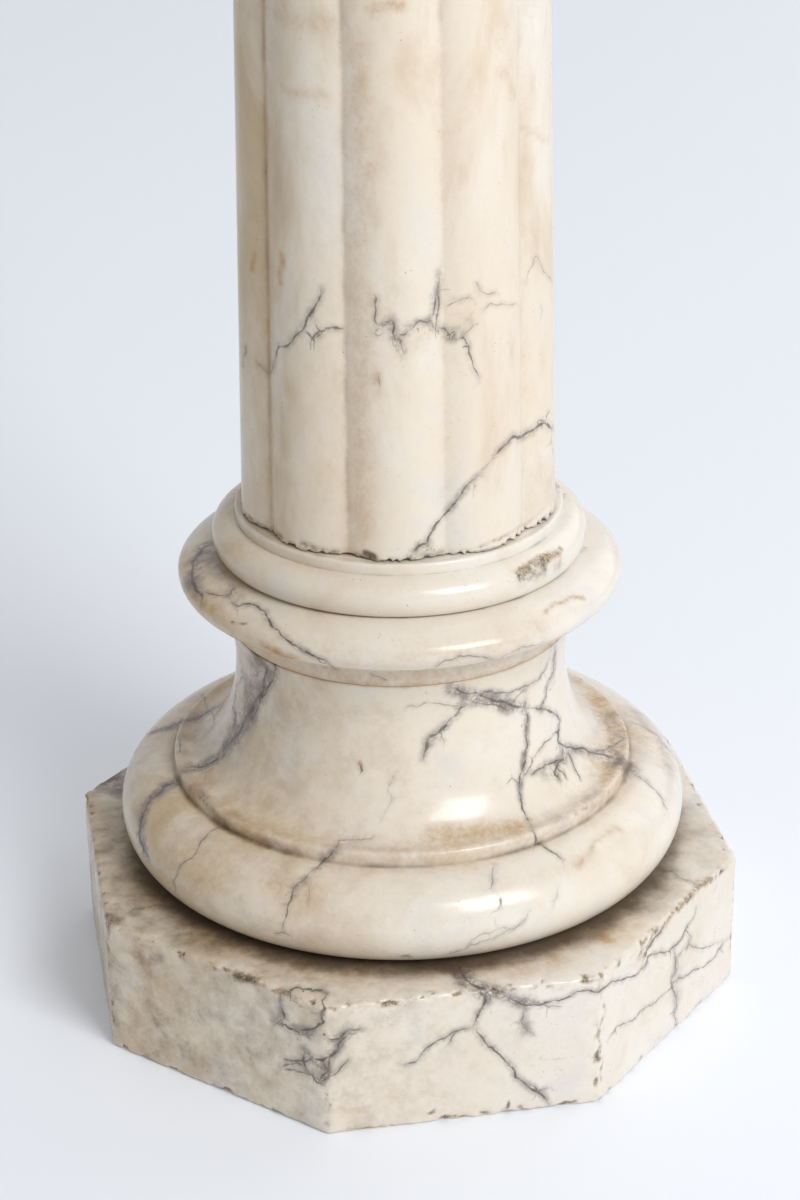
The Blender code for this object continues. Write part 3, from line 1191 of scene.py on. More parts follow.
def add_softbox(name, place, extent, power):
    """A rectangular soft light that looks at the column's lower part."""
    nothing_selected()
    bpy.ops.object.light_add(type="AREA")
    light = bpy.context.object
    light.name = name
    aim = (Vector(LOOKED_AT) - Vector(place)).normalized()
    turn = aim.to_track_quat("-Z", "Y").to_matrix().to_4x4()
    light.matrix_world = Matrix.Translation(place) @ turn
    light.data.shape = "RECTANGLE"
    light.data.size, light.data.size_y = extent
    light.data.energy = power


# What the photograph shows, in its pixels

SHAFT_VEINS = {
    "left reed": Vein(0.42, 0.85, 2.2, (
        (322, 289), (319, 299), (314, 307), (309, 316), (306, 322), (303, 329), (297, 334), (292, 341),
        (286, 347), (279, 346), (276, 352), (275, 360), (273, 367))),
    "left reed patch": Vein(0.4, 0.8, 2.6, (
        (303, 329), (308, 334), (312, 339), (316, 334), (319, 330), (324, 330), (328, 327), (335, 327),
        (344, 329))),
    "left reed hook": Vein(0.3, 0.6, 1.5, ((316, 322), (318, 329), (323, 333), (316, 338))),
    "left sliver": Vein(0.35, 0.6, 2.0, ((244, 344), (246, 352), (243, 359), (243, 366))),
    "left valley": Vein(0.3, 0.5, 3.0, ((257, 361), (262, 367), (266, 372), (270, 373), (273, 366))),
    "middle reed spur": Vein(0.3, 0.75, 1.0, (
        (373, 294), (377, 298), (375, 307), (376, 314), (374, 319), (377, 325), (381, 327), (383, 322),
        (388, 321), (393, 320))),
    "middle reed loop": Vein(0.24, 0.4, 1.6, (
        (381, 327), (384, 331), (382, 335), (377, 336), (373, 331), (378, 329), (392, 330))),
    "middle reed drop": Vein(0.4, 0.9, 2.4, (
        (392, 319), (394, 328), (393, 335), (397, 342), (399, 338), (400, 344), (404, 352))),
    "middle reed tail": Vein(0.22, 0.4, 1.0, ((394, 333), (391, 342), (398, 349), (402, 358))),
    "middle reed run": Vein(0.3, 0.7, 2.0, (
        (398, 334), (404, 335), (409, 331), (413, 325), (418, 321), (425, 323), (431, 320))),
    "middle reed upper run": Vein(0.22, 0.45, 1.5, ((400, 325), (409, 326), (418, 320), (428, 323))),
    "middle reed rise": Vein(0.36, 0.8, 2.6, (
        (431, 320), (433, 311), (435, 303), (434, 296), (438, 289), (439, 280), (438, 272))),
    "middle reed second rise": Vein(0.28, 0.7, 1.8, (
        (431, 320), (432, 327), (435, 328), (437, 320), (438, 310), (439, 300), (438, 290))),
    "fourth reed knot": Vein(0.34, 0.75, 2.8, (
        (438, 327), (446, 329), (449, 336), (452, 331), (457, 330), (455, 338), (447, 339))),
    "fourth reed fall": Vein(0.28, 0.75, 1.2, (
        (455, 338), (462, 338), (464, 334), (466, 341), (469, 350), (472, 359), (475, 371), (479, 382))),
    "fourth reed hook": Vein(0.2, 0.35, 1.4, (
        (464, 334), (469, 329), (474, 325), (470, 319), (466, 320))),
    "fourth reed top": Vein(0.24, 0.55, 1.4, (
        (446, 307), (452, 303), (458, 301), (464, 298), (469, 297))),
    "fourth reed peak": Vein(0.2, 0.45, 1.6, ((477, 282), (481, 291), (487, 295), (495, 292))),
    "fourth reed side": Vein(0.2, 0.4, 1.6, ((482, 311), (488, 306), (489, 303), (500, 304), (518, 304))),
    "last reed": Vein(0.18, 0.4, 1.5, (
        (526, 283), (530, 268), (535, 256), (541, 265), (546, 274), (553, 284))),
    "last reed fleck": Vein(0.18, 0.35, 1.0, ((541, 303), (542, 313))),
    "diagonal foot": Vein(0.5, 0.9, 2.2, (
        (411, 559), (413, 551), (419, 545), (427, 544), (430, 534), (435, 525), (442, 517), (448, 511),
        (453, 505), (458, 498), (465, 488), (472, 481), (479, 475))),
    "diagonal spur": Vein(0.3, 0.6, 1.0, ((472, 481), (476, 488))),
    "diagonal gap": Vein(0.15, 0.35, 1.0, ((479, 475), (487, 466), (495, 456))),
    "diagonal top": Vein(0.75, 0.95, 2.4, (
        (494, 456), (503, 448), (512, 437), (523, 436), (532, 431), (539, 425), (546, 424), (554, 429))),
    "diagonal fork": Vein(0.35, 0.7, 1.6, ((539, 426), (537, 421), (546, 422), (549, 412))),
    "diagonal drip": Vein(0.2, 0.45, 1.4, ((552, 432), (551, 441), (553, 452))),
    "small mark": Vein(0.2, 0.5, 1.2, ((379, 372), (378, 379), (380, 386))),
}

SHAFT_MARKS = {
    "rust by the middle vein": Mark("stain", 6.0, 0.32, ((385, 318), (402, 352), (436, 322))),
    "rust by the fourth vein": Mark("stain", 5.0, 0.30, ((452, 300), (468, 324), (474, 296))),
    "rust low on the middle reed": Mark("stain", 3.0, 0.45, ((378, 376), (380, 392))),
    "flecks on the sliver": Mark("stain", 2.0, 0.85, ((254, 252), (253, 262), (252, 270))),
    "flecks on the left reed": Mark("stain", 2.6, 0.85, ((281, 254), (283, 264), (280, 272), (281, 282))),
    "fleck at the top": Mark("stain", 3.5, 0.65, ((371, 10), (385, 6), (402, 5))),
    "smudge at the top": Mark("stain", 5.0, 0.4, ((282, 14), (300, 22), (318, 26), (328, 20))),
    "smudge below it": Mark("stain", 3.2, 0.45, ((281, 84), (290, 92), (306, 94), (324, 96))),
    "smudge at the upper right": Mark("stain", 3.6, 0.4, ((500, 72), (509, 80), (514, 94))),
    "streak at the upper right": Mark("stain", 2.4, 0.5, (
        (521, 131), (530, 132), (540, 137), (548, 140))),
    "brown chip at the foot": Mark("grime", 2.2, 0.9, ((366, 553), (374, 556))),
    "grey patch at the foot": Mark("smoke", 4.0, 0.55, ((418, 552), (430, 549), (440, 552))),
    "tan on the left reed": Mark("stain", 9.0, 0.22, ((300, 380), (292, 392), (310, 372))),
    # Painted shade on the middle reed's left flank, which faces away from the key light
    "painted shade down the middle reed": Mark("stain", 8.0, 0.42, (
        (356, 40), (356, 90), (357, 140), (357, 190), (358, 240), (358, 290), (359, 340), (360, 390),
        (361, 440), (362, 490), (363, 535))),
    # Painted shade on the reed's left flank just right of that valley, which faces away from the key
    # light
    "painted shade by the right valley": Mark("stain", 7.0, 0.25, ((452, 505), (446, 530), (450, 470))),
}

SHAFT_CHIPS = {
    "left foot": Mark("rough", 1.5, 0.9, ((246, 517), (262, 528), (280, 537))),
    "foot by the left valley": Mark("rough", 1.7, 0.9, ((300, 545), (318, 551), (338, 554))),
    "foot by the middle valley": Mark("rough", 2.2, 1.0, ((346, 555), (356, 556), (370, 557))),
    "foot by the diagonal": Mark("rough", 1.8, 0.9, ((408, 560), (418, 559), (440, 556))),
    "foot at the right": Mark("rough", 1.2, 0.7, ((480, 548), (500, 540), (522, 527), (545, 510))),
}

RING_VEINS = {
    "large torus hook": Vein(0.85, 0.97, 4.0, (
        (211, 545), (202, 549), (197, 557), (193, 565), (192, 574), (193, 583), (197, 591), (203, 600))),
    "large torus ripple": Vein(0.3, 0.75, 1.6, (
        (203, 592), (211, 594), (218, 596), (225, 596), (230, 594), (233, 589), (237, 585))),
    "large torus run": Vein(0.42, 0.95, 1.8, (
        (228, 597), (233, 604), (238, 607), (244, 604), (251, 604), (258, 607), (265, 611), (267, 617),
        (270, 621), (273, 627), (280, 634), (289, 641), (298, 647), (307, 652), (317, 658), (332, 666))),
    "large torus end": Vein(0.25, 0.6, 1.0, ((307, 652), (322, 663), (339, 670))),
    "large torus right": Vein(0.26, 0.65, 1.8, (
        (428, 669), (444, 661), (455, 658), (467, 656), (483, 657), (494, 660))),
    "large torus far right": Vein(0.2, 0.4, 1.2, ((494, 660), (508, 654), (522, 647), (545, 641))),
    "collar thread": Vein(0.2, 0.4, 1.4, ((368, 673), (378, 677), (388, 681))),
}

RING_MARKS = {
    "brown crystals": Mark("stain", 3.0, 0.6, ((520, 572), (534, 562), (546, 557), (558, 553))),
    "broken crystals": Mark("rough", 3.0, 0.66, ((519, 574), (527, 568), (538, 560), (546, 557))),
    "broken crystals at the end": Mark("rough", 2.2, 0.6, ((543, 565), (552, 556), (561, 549))),
    "broken crystals below": Mark("rough", 2.4, 0.45, ((522, 579), (533, 576), (545, 570))),
    "grey below the crystals": Mark("smoke", 4.0, 0.45, ((522, 580), (545, 572), (560, 562))),
    "brown streak": Mark("stain", 3.6, 0.9, ((264, 646), (278, 652), (292, 657))),
    "dirt in the brown streak": Mark("grime", 2.6, 0.45, ((268, 648), (280, 653))),
    "yellow flecks": Mark("stain", 1.6, 0.8, ((545, 612), (570, 598), (583, 598))),
    "yellow band": Mark("stain", 8.0, 0.34, ((330, 650), (400, 660), (470, 655), (540, 630))),
    "grey at the left end": Mark("smoke", 7.0, 0.8, ((206, 546), (198, 560), (194, 584))),
    # Painted shade in the crease under the small torus, on the left
    "painted shade under the small torus": Mark("smoke", 5.0, 0.5, ((213, 554), (220, 570), (234, 588))),
    "grey by the ripple": Mark("smoke", 3.6, 0.6, ((226, 590), (236, 596), (244, 604))),
    "brown at the left end": Mark("stain", 7.0, 0.6, (
        (183, 556), (188, 582), (202, 606), (224, 624), (246, 640))),
    "small specks": Mark("grime", 0.9, 0.7, ((232, 622), (247, 624))),
    "pit": Mark("grime", 0.9, 0.85, ((380, 635),)),
}

BASE_VEINS = {
    "left band": Vein(0.8, 0.85, 5.5, (
        (262, 652), (268, 668), (264, 690), (254, 709), (242, 728), (231, 743), (219, 758), (203, 767),
        (182, 770))),
    "left band edge": Vein(0.4, 0.8, 3.5, ((272, 655), (276, 668), (268, 688), (256, 712), (247, 722))),
    "left band inner edge": Vein(0.35, 0.75, 3.0, (
        (240, 660), (243, 676), (236, 690), (233, 708), (236, 722), (226, 738))),
    "left cross": Vein(0.55, 0.8, 3.6, (
        (222, 706), (208, 712), (192, 720), (178, 724), (160, 730), (144, 735))),
    "left cross fork": Vein(0.25, 0.6, 1.6, ((200, 692), (206, 704), (214, 716), (212, 730))),
    "left nick": Vein(0.3, 0.7, 1.6, ((178, 738), (181, 746), (179, 753))),
    "left torus band": Vein(0.95, 0.95, 3.8, (
        (179, 780), (164, 786), (151, 799), (143, 814), (140, 831), (144, 850), (149, 862))),
    "left torus thread": Vein(0.25, 0.6, 1.2, (
        (226, 827), (211, 831), (200, 843), (192, 858), (179, 869), (173, 881), (175, 895))),
    "front torus": Vein(0.36, 0.8, 1.8, (
        (336, 849), (326, 858), (314, 869), (303, 880), (293, 889), (288, 904), (286, 919), (283, 930))),
    "front torus foot": Vein(0.22, 0.6, 1.0, ((272, 934), (281, 932), (290, 936))),
    "front torus side": Vein(0.16, 0.35, 1.0, ((303, 880), (309, 892), (307, 905))),
    "front lip": Vein(0.3, 0.55, 1.2, ((334, 850), (340, 840), (362, 840), (374, 836))),
    "right lip": Vein(0.34, 0.8, 1.4, ((532, 826), (536, 843), (548, 850), (556, 854), (563, 860))),
    "torus smudge": Vein(0.3, 0.55, 3.0, ((494, 865), (493, 874), (491, 889))),
    "torus pit": Vein(0.45, 0.9, 0.0, ((501, 896), (500, 901), (500, 908))),
    "torus low right": Vein(0.22, 0.5, 2.4, (
        (529, 908), (525, 920), (513, 929), (500, 935), (483, 942), (460, 951), (444, 956))),
    "torus low right fork": Vein(0.18, 0.4, 1.6, ((513, 929), (498, 928), (480, 935), (468, 944))),
    "torus faint": Vein(0.18, 0.35, 1.8, ((559, 884), (557, 896), (553, 909))),
    "torus right end": Vein(0.3, 0.55, 3.6, ((622, 764), (630, 772), (642, 778), (660, 796), (668, 812))),
    "torus far right": Vein(0.2, 0.4, 2.4, ((626, 722), (648, 730), (664, 744), (678, 760))),
    "top run": Vein(0.5, 0.85, 3.4, (
        (449, 687), (463, 693), (482, 696), (495, 701), (511, 705), (525, 707))),
    "top run lower": Vein(0.3, 0.7, 2.4, ((466, 700), (480, 703), (494, 705), (508, 711))),
    "right run": Vein(0.45, 0.9, 2.0, (
        (525, 707), (540, 709), (551, 712), (560, 720), (557, 733), (559, 743), (575, 749), (593, 753),
        (609, 757), (629, 764))),
    "right run fork": Vein(0.3, 0.6, 2.0, ((593, 753), (604, 750), (616, 744), (624, 738))),
    "long drop": Vein(0.42, 0.95, 1.8, (
        (524, 707), (528, 717), (526, 735), (525, 755), (522, 770), (519, 785), (521, 800), (525, 814),
        (532, 826))),
    "long drop side": Vein(0.25, 0.7, 1.2, ((557, 734), (544, 743), (532, 758), (527, 774), (520, 787))),
    "short drop side": Vein(0.2, 0.5, 1.0, ((519, 785), (512, 778), (508, 784))),
    "star": Vein(0.4, 0.9, 2.2, ((564, 747), (563, 757), (558, 764), (554, 774), (560, 780))),
    "star left": Vein(0.3, 0.8, 1.8, ((563, 757), (552, 763), (540, 768), (531, 775))),
    "star right": Vein(0.25, 0.8, 1.2, ((565, 750), (573, 764), (577, 773), (580, 780))),
    "star foot": Vein(0.3, 0.8, 1.4, ((556, 768), (563, 773), (567, 779))),
    "rise to the collar": Vein(0.4, 0.75, 2.6, (
        (540, 709), (546, 694), (551, 678), (554, 662), (555, 647))),
    "arc to the rise": Vein(0.3, 0.6, 2.6, (
        (478, 690), (500, 692), (520, 689), (534, 682), (544, 672), (550, 656))),
    "side twigs": Vein(0.2, 0.55, 1.4, ((511, 705), (517, 696), (526, 690))),
    "left branch": Vein(0.5, 0.8, 2.6, (
        (472, 702), (460, 707), (455, 716), (445, 726), (437, 733), (427, 741), (425, 752), (423, 761))),
    "left branch fork": Vein(0.24, 0.7, 1.0, ((442, 728), (440, 737), (445, 743))),
    "left faint": Vein(0.2, 0.45, 1.4, ((471, 703), (445, 705), (421, 705), (404, 709))),
    "middle faint": Vein(0.18, 0.38, 2.0, ((399, 770), (388, 786), (393, 800), (385, 812), (381, 822))),
    "brown mark": Vein(0.4, 0.8, 0.0, ((360, 763), (361, 768), (362, 773))),
}

BASE_MARKS = {
    "band under the ring": Mark("smoke", 9.0, 0.97, ((258, 655), (258, 680), (246, 708), (236, 728))),
    "grey of the top run": Mark("smoke", 4.0, 0.75, ((452, 690), (470, 695), (495, 701), (522, 706))),
    "grey of the left branch": Mark("smoke", 4.0, 0.45, ((452, 716), (438, 732), (430, 742))),
    "band at the lip": Mark("smoke", 5.0, 0.6, ((228, 742), (212, 760))),
    "dirt in the left band": Mark("grime", 5.0, 0.55, ((258, 658), (270, 674), (262, 698), (250, 716))),
    # Partly grey haze, partly painted shade in the hollow's foot at the right
    "grey inside the lip's right": Mark("smoke", 9.0, 0.4, ((606, 716), (616, 736), (616, 762))),
    "left hollow": Mark("smoke", 6.0, 0.4, ((205, 715), (190, 740))),
    "grey of the left cross": Mark("smoke", 3.6, 0.75, BASE_VEINS["left cross"].path),
    "grey of the left torus band": Mark("smoke", 4.2, 0.85, BASE_VEINS["left torus band"].path[:-1]),
    "grey of the band's foot": Mark("smoke", 4.2, 0.8, ((236, 732), (222, 754), (206, 765), (188, 770))),
    "grey of the front torus": Mark("smoke", 3.8, 0.42, BASE_VEINS["front torus"].path[:-2]),
    "brown spot on the hollow": Mark("stain", 1.2, 0.9, ((360, 763), (361, 769))),
    "shade inside the lip's right": Mark("smoke", 9.0, 0.26, (
        (590, 772), (602, 788), (580, 806), (556, 820))),
    "smoke by the lip": Mark("smoke", 5.0, 0.6, ((610, 755), (624, 768), (636, 774))),
    "smoke on the star": Mark("smoke", 5.0, 0.6, ((565, 752), (560, 766), (545, 772))),
    "smoke on the long drop": Mark("smoke", 2.6, 0.55, ((526, 716), (524, 756), (520, 786))),
    "smoke on the right run": Mark("smoke", 3.4, 0.5, ((570, 748), (600, 755), (628, 764))),
    "smoke in the rise": Mark("smoke", 3.4, 0.5, ((552, 684), (556, 660), (552, 640))),
    "brown in the left band": Mark("stain", 7.0, 0.6, ((256, 655), (256, 680), (246, 706))),
    "rust inside the lip": Mark("stain", 6.5, 0.6, ((436, 832), (468, 834), (498, 832), (518, 826))),
    "rust at the lip's left": Mark("stain", 6.0, 0.4, ((200, 800), (225, 822), (262, 840))),
    "tan under the ring": Mark("stain", 9.0, 0.35, ((280, 690), (284, 715), (276, 740), (295, 700))),
    "tan on the left torus": Mark("stain", 12.0, 0.34, ((150, 800), (165, 835), (190, 850), (215, 880))),
    "brown at the torus's right end": Mark("stain", 12.0, 0.4, ((640, 716), (664, 760))),
    "grey at the torus's right end": Mark("smoke", 10.0, 0.3, ((636, 712), (668, 768))),
    # Partly brown soiling, partly painted shade in the hollow's foot at the right
    "brown inside the lip's right": Mark("stain", 11.0, 0.55, ((596, 700), (614, 730), (612, 770))),
    "tan by the front vein": Mark("stain", 8.0, 0.45, ((275, 880), (300, 905), (312, 890))),
    "tan on the front torus": Mark("stain", 8.0, 0.25, ((430, 870), (520, 880), (590, 860))),
    "rust flecks on the right": Mark("stain", 2.2, 0.5, ((578, 866), (616, 828), (620, 830))),
    "grime at the torus foot": Mark("grime", 1.8, 0.8, ((404, 956), (410, 957))),
    "grime outside the lip": Mark("grime", 3.2, 0.45, ((190, 790), (215, 815), (250, 838), (300, 853))),
}

BASE_CHIPS = {
    "lip at the left": Mark("rough", 2.2, 0.9, ((200, 797), (206, 804))),
    "lip at the right": Mark("rough", 1.6, 0.7, ((576, 815), (584, 808), (596, 806))),
    "lip at the vein": Mark("rough", 1.4, 0.6, ((531, 829), (535, 833))),
}

PLINTH_VEINS = {
    "top edge": Vein(0.6, 0.9, 3.2, (
        (457, 960), (461, 973), (469, 981), (478, 988), (487, 992), (505, 993))),
    "top edge run": Vein(0.35, 0.85, 1.8, (
        (492, 992), (505, 996), (518, 1003), (528, 1005), (540, 1006), (552, 1001), (566, 998),
        (600, 991), (626, 978), (643, 968), (648, 956), (660, 952), (670, 951), (687, 926), (696, 908))),
    "top edge fork": Vein(0.22, 0.6, 1.2, ((518, 1003), (535, 1001), (548, 1007), (562, 1006))),
    "top smoke": Vein(0.5, 0.7, 5.0, ((424, 966), (440, 963), (457, 965))),
    "main stem": Vein(0.5, 0.9, 2.4, ((479, 990), (486, 1000), (478, 1012), (473, 1026))),
    "left limb": Vein(0.3, 0.8, 1.6, (
        (473, 1026), (458, 1030), (448, 1036), (440, 1039), (425, 1050), (418, 1060), (405, 1065))),
    "left limb twig": Vein(0.25, 0.7, 1.0, ((458, 1030), (452, 1037), (450, 1044))),
    "right limb": Vein(0.4, 0.9, 2.2, (
        (473, 1026), (483, 1039), (496, 1052), (509, 1065), (516, 1078), (531, 1089), (541, 1094),
        (547, 1102), (553, 1109))),
    "right star": Vein(0.28, 0.8, 1.6, ((529, 1084), (538, 1092), (545, 1088))),
    "right twig": Vein(0.22, 0.6, 1.6, ((524, 1012), (520, 1022), (527, 1030), (536, 1036))),
    "ring top": Vein(0.44, 0.92, 1.4, (
        (280, 1000), (283, 991), (289, 993), (297, 987), (310, 989), (321, 989), (327, 993))),
    "ring right": Vein(0.44, 0.92, 1.4, (
        (327, 993), (322, 1001), (325, 1008), (320, 1015), (323, 1022), (316, 1028), (307, 1030),
        (297, 1032))),
    "ring left": Vein(0.5, 0.95, 2.8, (
        (280, 1000), (281, 1008), (285, 1016), (279, 1022), (288, 1028), (297, 1032), (306, 1034))),
    "ring spur": Vein(0.25, 0.6, 1.6, ((271, 1021), (280, 1024), (288, 1028))),
    "corner twigs": Vein(0.45, 0.9, 3.0, ((362, 1028), (349, 1030), (340, 1039), (328, 1038))),
    "corner cluster": Vein(0.55, 0.95, 3.2, ((342, 1045), (334, 1054), (323, 1060), (305, 1051))),
    "corner cluster foot": Vein(0.4, 0.9, 2.6, (
        (305, 1051), (303, 1060), (310, 1073), (316, 1082), (323, 1085))),
    "corner cluster right": Vein(0.3, 0.8, 2.0, ((349, 1060), (341, 1067), (335, 1075), (323, 1078))),
    "corner cluster left": Vein(0.28, 0.75, 1.8, ((281, 1067), (297, 1062), (304, 1066))),
    "corner cluster middle": Vein(0.28, 0.8, 1.6, ((323, 1060), (330, 1073), (322, 1082))),
    "corner cluster bar": Vein(0.32, 0.8, 1.6, ((280, 1058), (296, 1061), (311, 1059), (327, 1070))),
    "corner cluster fall": Vein(0.36, 0.85, 2.0, (
        (355, 1029), (341, 1040), (331, 1056), (327, 1072), (319, 1081))),
    "corner cluster low bar": Vein(0.3, 0.75, 1.6, ((283, 1070), (302, 1073), (319, 1080))),
    "right edge": Vein(0.45, 0.85, 2.2, ((663, 928), (655, 938), (648, 948), (644, 960))),
    "right face fall": Vein(0.32, 0.75, 2.4, (
        (672, 948), (676, 969), (672, 987), (676, 1008), (676, 1026), (668, 1040))),
    "right face thread": Vein(0.26, 0.7, 1.4, (
        (607, 1043), (617, 1026), (639, 1013), (652, 1004), (674, 982), (696, 969), (717, 952),
        (731, 937))),
    "right face top": Vein(0.24, 0.6, 1.6, ((687, 943), (705, 948), (722, 941))),
    "right face knot": Vein(0.24, 0.6, 2.0, ((685, 926), (691, 939), (687, 948), (676, 958))),
    "left edge": Vein(0.34, 0.75, 1.8, ((112, 915), (108, 928), (106, 944))),
    "top right": Vein(0.3, 0.7, 2.6, ((659, 869), (674, 873), (686, 880), (698, 886))),
    "top left": Vein(0.3, 0.6, 2.0, ((130, 912), (148, 907), (160, 905))),
}

PLINTH_MARKS = {
    "grey corner": Mark("smoke", 6.0, 0.95, ((101, 786), (110, 776), (122, 768), (118, 792))),
    "smoke under the torus": Mark("smoke", 5.0, 0.9, (
        (418, 964), (440, 965), (456, 968), (465, 981), (486, 993))),
    "smoke along the top edge": Mark("smoke", 4.0, 0.85, (
        (457, 965), (468, 982), (480, 990), (495, 995), (515, 1001), (530, 1004))),
    "dirt on the grey corner": Mark("grime", 5.0, 0.5, ((100, 786), (110, 778), (120, 772))),
    "smoke by the right limb": Mark("smoke", 4.0, 0.55, ((526, 1024), (522, 1032))),
    "smoke in the cluster": Mark("smoke", 3.6, 0.5, ((312, 1066), (322, 1078))),
    "smoke on the twigs": Mark("smoke", 3.0, 0.55, ((334, 1040), (346, 1034))),
    "smoke by the ring": Mark("smoke", 4.0, 0.75, ((282, 1022), (300, 1031), (312, 1034))),
    "smoke on the right": Mark("smoke", 7.0, 0.35, ((680, 960), (676, 1000))),
    "tan inside the ring": Mark("stain", 5.0, 0.4, ((304, 1008),)),
    "tan on the left face": Mark("stain", 9.0, 0.35, ((140, 960), (150, 1000), (130, 1040))),
    "rust on the top": Mark("stain", 4.0, 0.6, ((604, 939), (608, 941))),
    "dirt at the top's right": Mark("grime", 13.0, 0.3, ((700, 810), (712, 860), (660, 915))),
    "dirt at the top's left": Mark("grime", 9.0, 0.4, ((120, 890), (160, 925), (210, 955))),
    "tan on the top": Mark("stain", 12.0, 0.4, ((160, 890), (230, 940), (540, 965), (620, 930))),
    "yellow by the corner": Mark("stain", 3.0, 0.5, ((341, 1108), (360, 1111))),
    "brown at the foot": Mark("grime", 1.6, 0.9, ((430, 1113), (434, 1111))),
    "dirt in the top chip": Mark("grime", 2.8, 0.8, ((237, 976), (246, 978), (255, 981))),
    "dirt in the left chip": Mark("grime", 2.8, 0.7, ((108, 916), (116, 920))),
    "brown scratch": Mark("grime", 1.0, 0.95, ((507, 1100), (508, 1107), (510, 1114))),
    "brown row": Mark("grime", 1.0, 0.5, ((540, 1059), (560, 1058), (580, 1058), (598, 1057))),
}

PLINTH_CHIPS = {
    "left top arris": Mark("rough", 4.2, 1.0, ((233, 974), (246, 978), (257, 981))),
    "left corner": Mark("rough", 4.2, 1.0, ((108, 915), (117, 921))),
    "right corner": Mark("rough", 1.6, 0.8, ((602, 996), (603, 1020), (602, 1050), (602, 1080))),
    "right arris": Mark("rough", 2.8, 0.9, (
        (640, 958), (650, 944), (659, 931), (676, 912), (692, 893), (704, 880))),
    "right top corner": Mark("rough", 3.2, 0.9, ((702, 882), (710, 876))),
    "foot of the corner": Mark("rough", 1.8, 0.8, ((326, 1096), (327, 1112), (328, 1130))),
    "foot arris": Mark("rough", 1.6, 0.8, ((568, 1110), (578, 1108), (586, 1107))),
}


# Operators

class Maker:
    """What the stones' operators share."""

    bl_options = {"REGISTER", "UNDO"}

    def rng(self):
        return random.Random(self.bl_idname)

    def soil_and_shade_more(self, context, stone):
        """Soiling and painted shade that only one kind of stone gathers."""

    def knock(self, context, piece, chips, depth, worn=None):
        """Chip and wear the piece, depth metres deep at most, and return how broken it is."""
        return chip(piece, chips.values(), Eye(context.scene.column_studio), depth, self.rng(), worn)

    def dress(self, context, piece, veins, marks, creases, grown, broken=None,
              stretch=1.0, wear=0.3, warm=0.8):
        """Lay the piece's veins and marks on it, and give it its marble."""
        stone = Stone(piece, Eye(context.scene.column_studio), self.rng())
        for vein in veins.values():
            stone.vein(vein)
        for mark in marks.values():
            stone.mark(mark)
        for area in grown:
            grow_over(stone, area)
        if broken is not None:
            stone.fields["rough"] = np.maximum(stone.fields["rough"], broken)
            stone.fields["stain"] = np.maximum(stone.fields["stain"], broken * 0.6)
        soil_and_shade_creases(stone, creases)
        self.soil_and_shade_more(context, stone)
        stone.finish()
        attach(piece, BODY)
        ground = random.Random(piece.name)
        offset = tuple(ground.uniform(-GROUND_SHIFT, GROUND_SHIFT) for axis in range(3))
        give_marble(piece, offset, stretch, wear, warm)


def soil_and_shade_valleys(stone, sizes):
    """Gather soiling and painted shade in the valleys, and painted shade on each reed's left flank, which
    faces away from the key light, most of it on the left side.
    """
    half = math.pi / sizes.reeds
    turns = np.arctan2(stone.places[:, 1], stone.places[:, 0])
    off = (np.mod(turns - sizes.turn, 2.0 * half) - half) * sizes.radius
    left = np.maximum(0.0, np.cos(turns - DIRTY_SHADED_SIDE))
    # Painted shade spreads wide over the reed's left flank past each valley, and stays narrow on the
    # other side
    shade_skirt = np.where(off > 0.0, 0.010, 0.003)
    added = (("grime", 0.0020, 0.2 + 0.26 * left), ("stain", shade_skirt, 0.22 + 0.34 * left))
    for kind, reach, strength in added:
        field = strength * np.exp(-(off / reach) ** 2)
        stone.fields[kind] = np.maximum(stone.fields[kind], field)


def worn_arrises(node, arris, wave):
    """A measure of how worn a slab is at a place, from how near it is to an arris."""
    half, foot, top = reach_of(node), foot_of(node), top_of(node)
    band = 2.6 * arris
    corner_band = 2.2 * arris

    def worn(place):
        out, along = over_side(place)
        level = max(0.0, 1.0 - min(place.z - foot, top - place.z) / band)
        corner = max(0.0, 1.0 - (half * math.tan(HALF_SIDE) - along) / corner_band)
        edge = max(0.0, 1.0 - (half - out) / band) * max(level, 0.8 * corner)
        rough = 0.5 + noise.fractal(place * 90.0, 0.6, 2.0, 4) * 0.9
        nick = max(0.0, noise.noise(place * 260.0) - 0.18) * 2.2
        return max(0.0, min(1.0, edge * wave / FULL_WAVE * (0.42 * rough + nick)))

    return worn


class ColumnPlinth(bpy.types.Operator, Maker):
    """Model and dress the eight-sided plinth"""

    bl_idname = "column.plinth"
    bl_label = "Plinth"

    def execute(self, context):
        sizes = context.scene.column_slab
        piece = model_slab("plinth_stone", "plinth", sizes, sizes.hidden)
        worn = worn_arrises("plinth", sizes.arris, sizes.wave)
        broken = self.knock(context, piece, PLINTH_CHIPS, depth=0.0016, worn=worn)
        top = top_of("plinth")
        # Painted shadow of the torus on the plinth's top, darkest right under it, with some real soiling,
        # and a warm painted shade beside it
        under_torus = 0.122
        beside_torus = 0.132
        creases = (
            Crease("grime", under_torus, top, 0.014, 1.0),
            Crease("grime", beside_torus, top, 0.008, 0.45),
            Crease("stain", beside_torus, top, 0.016, 0.35),
        )
        grown = (Area(reach_of("plinth"), 0.006, top, 13),)
        self.dress(context, piece, PLINTH_VEINS, PLINTH_MARKS, creases, grown, broken,
                   wear=1.2, warm=0.38)
        return {"FINISHED"}


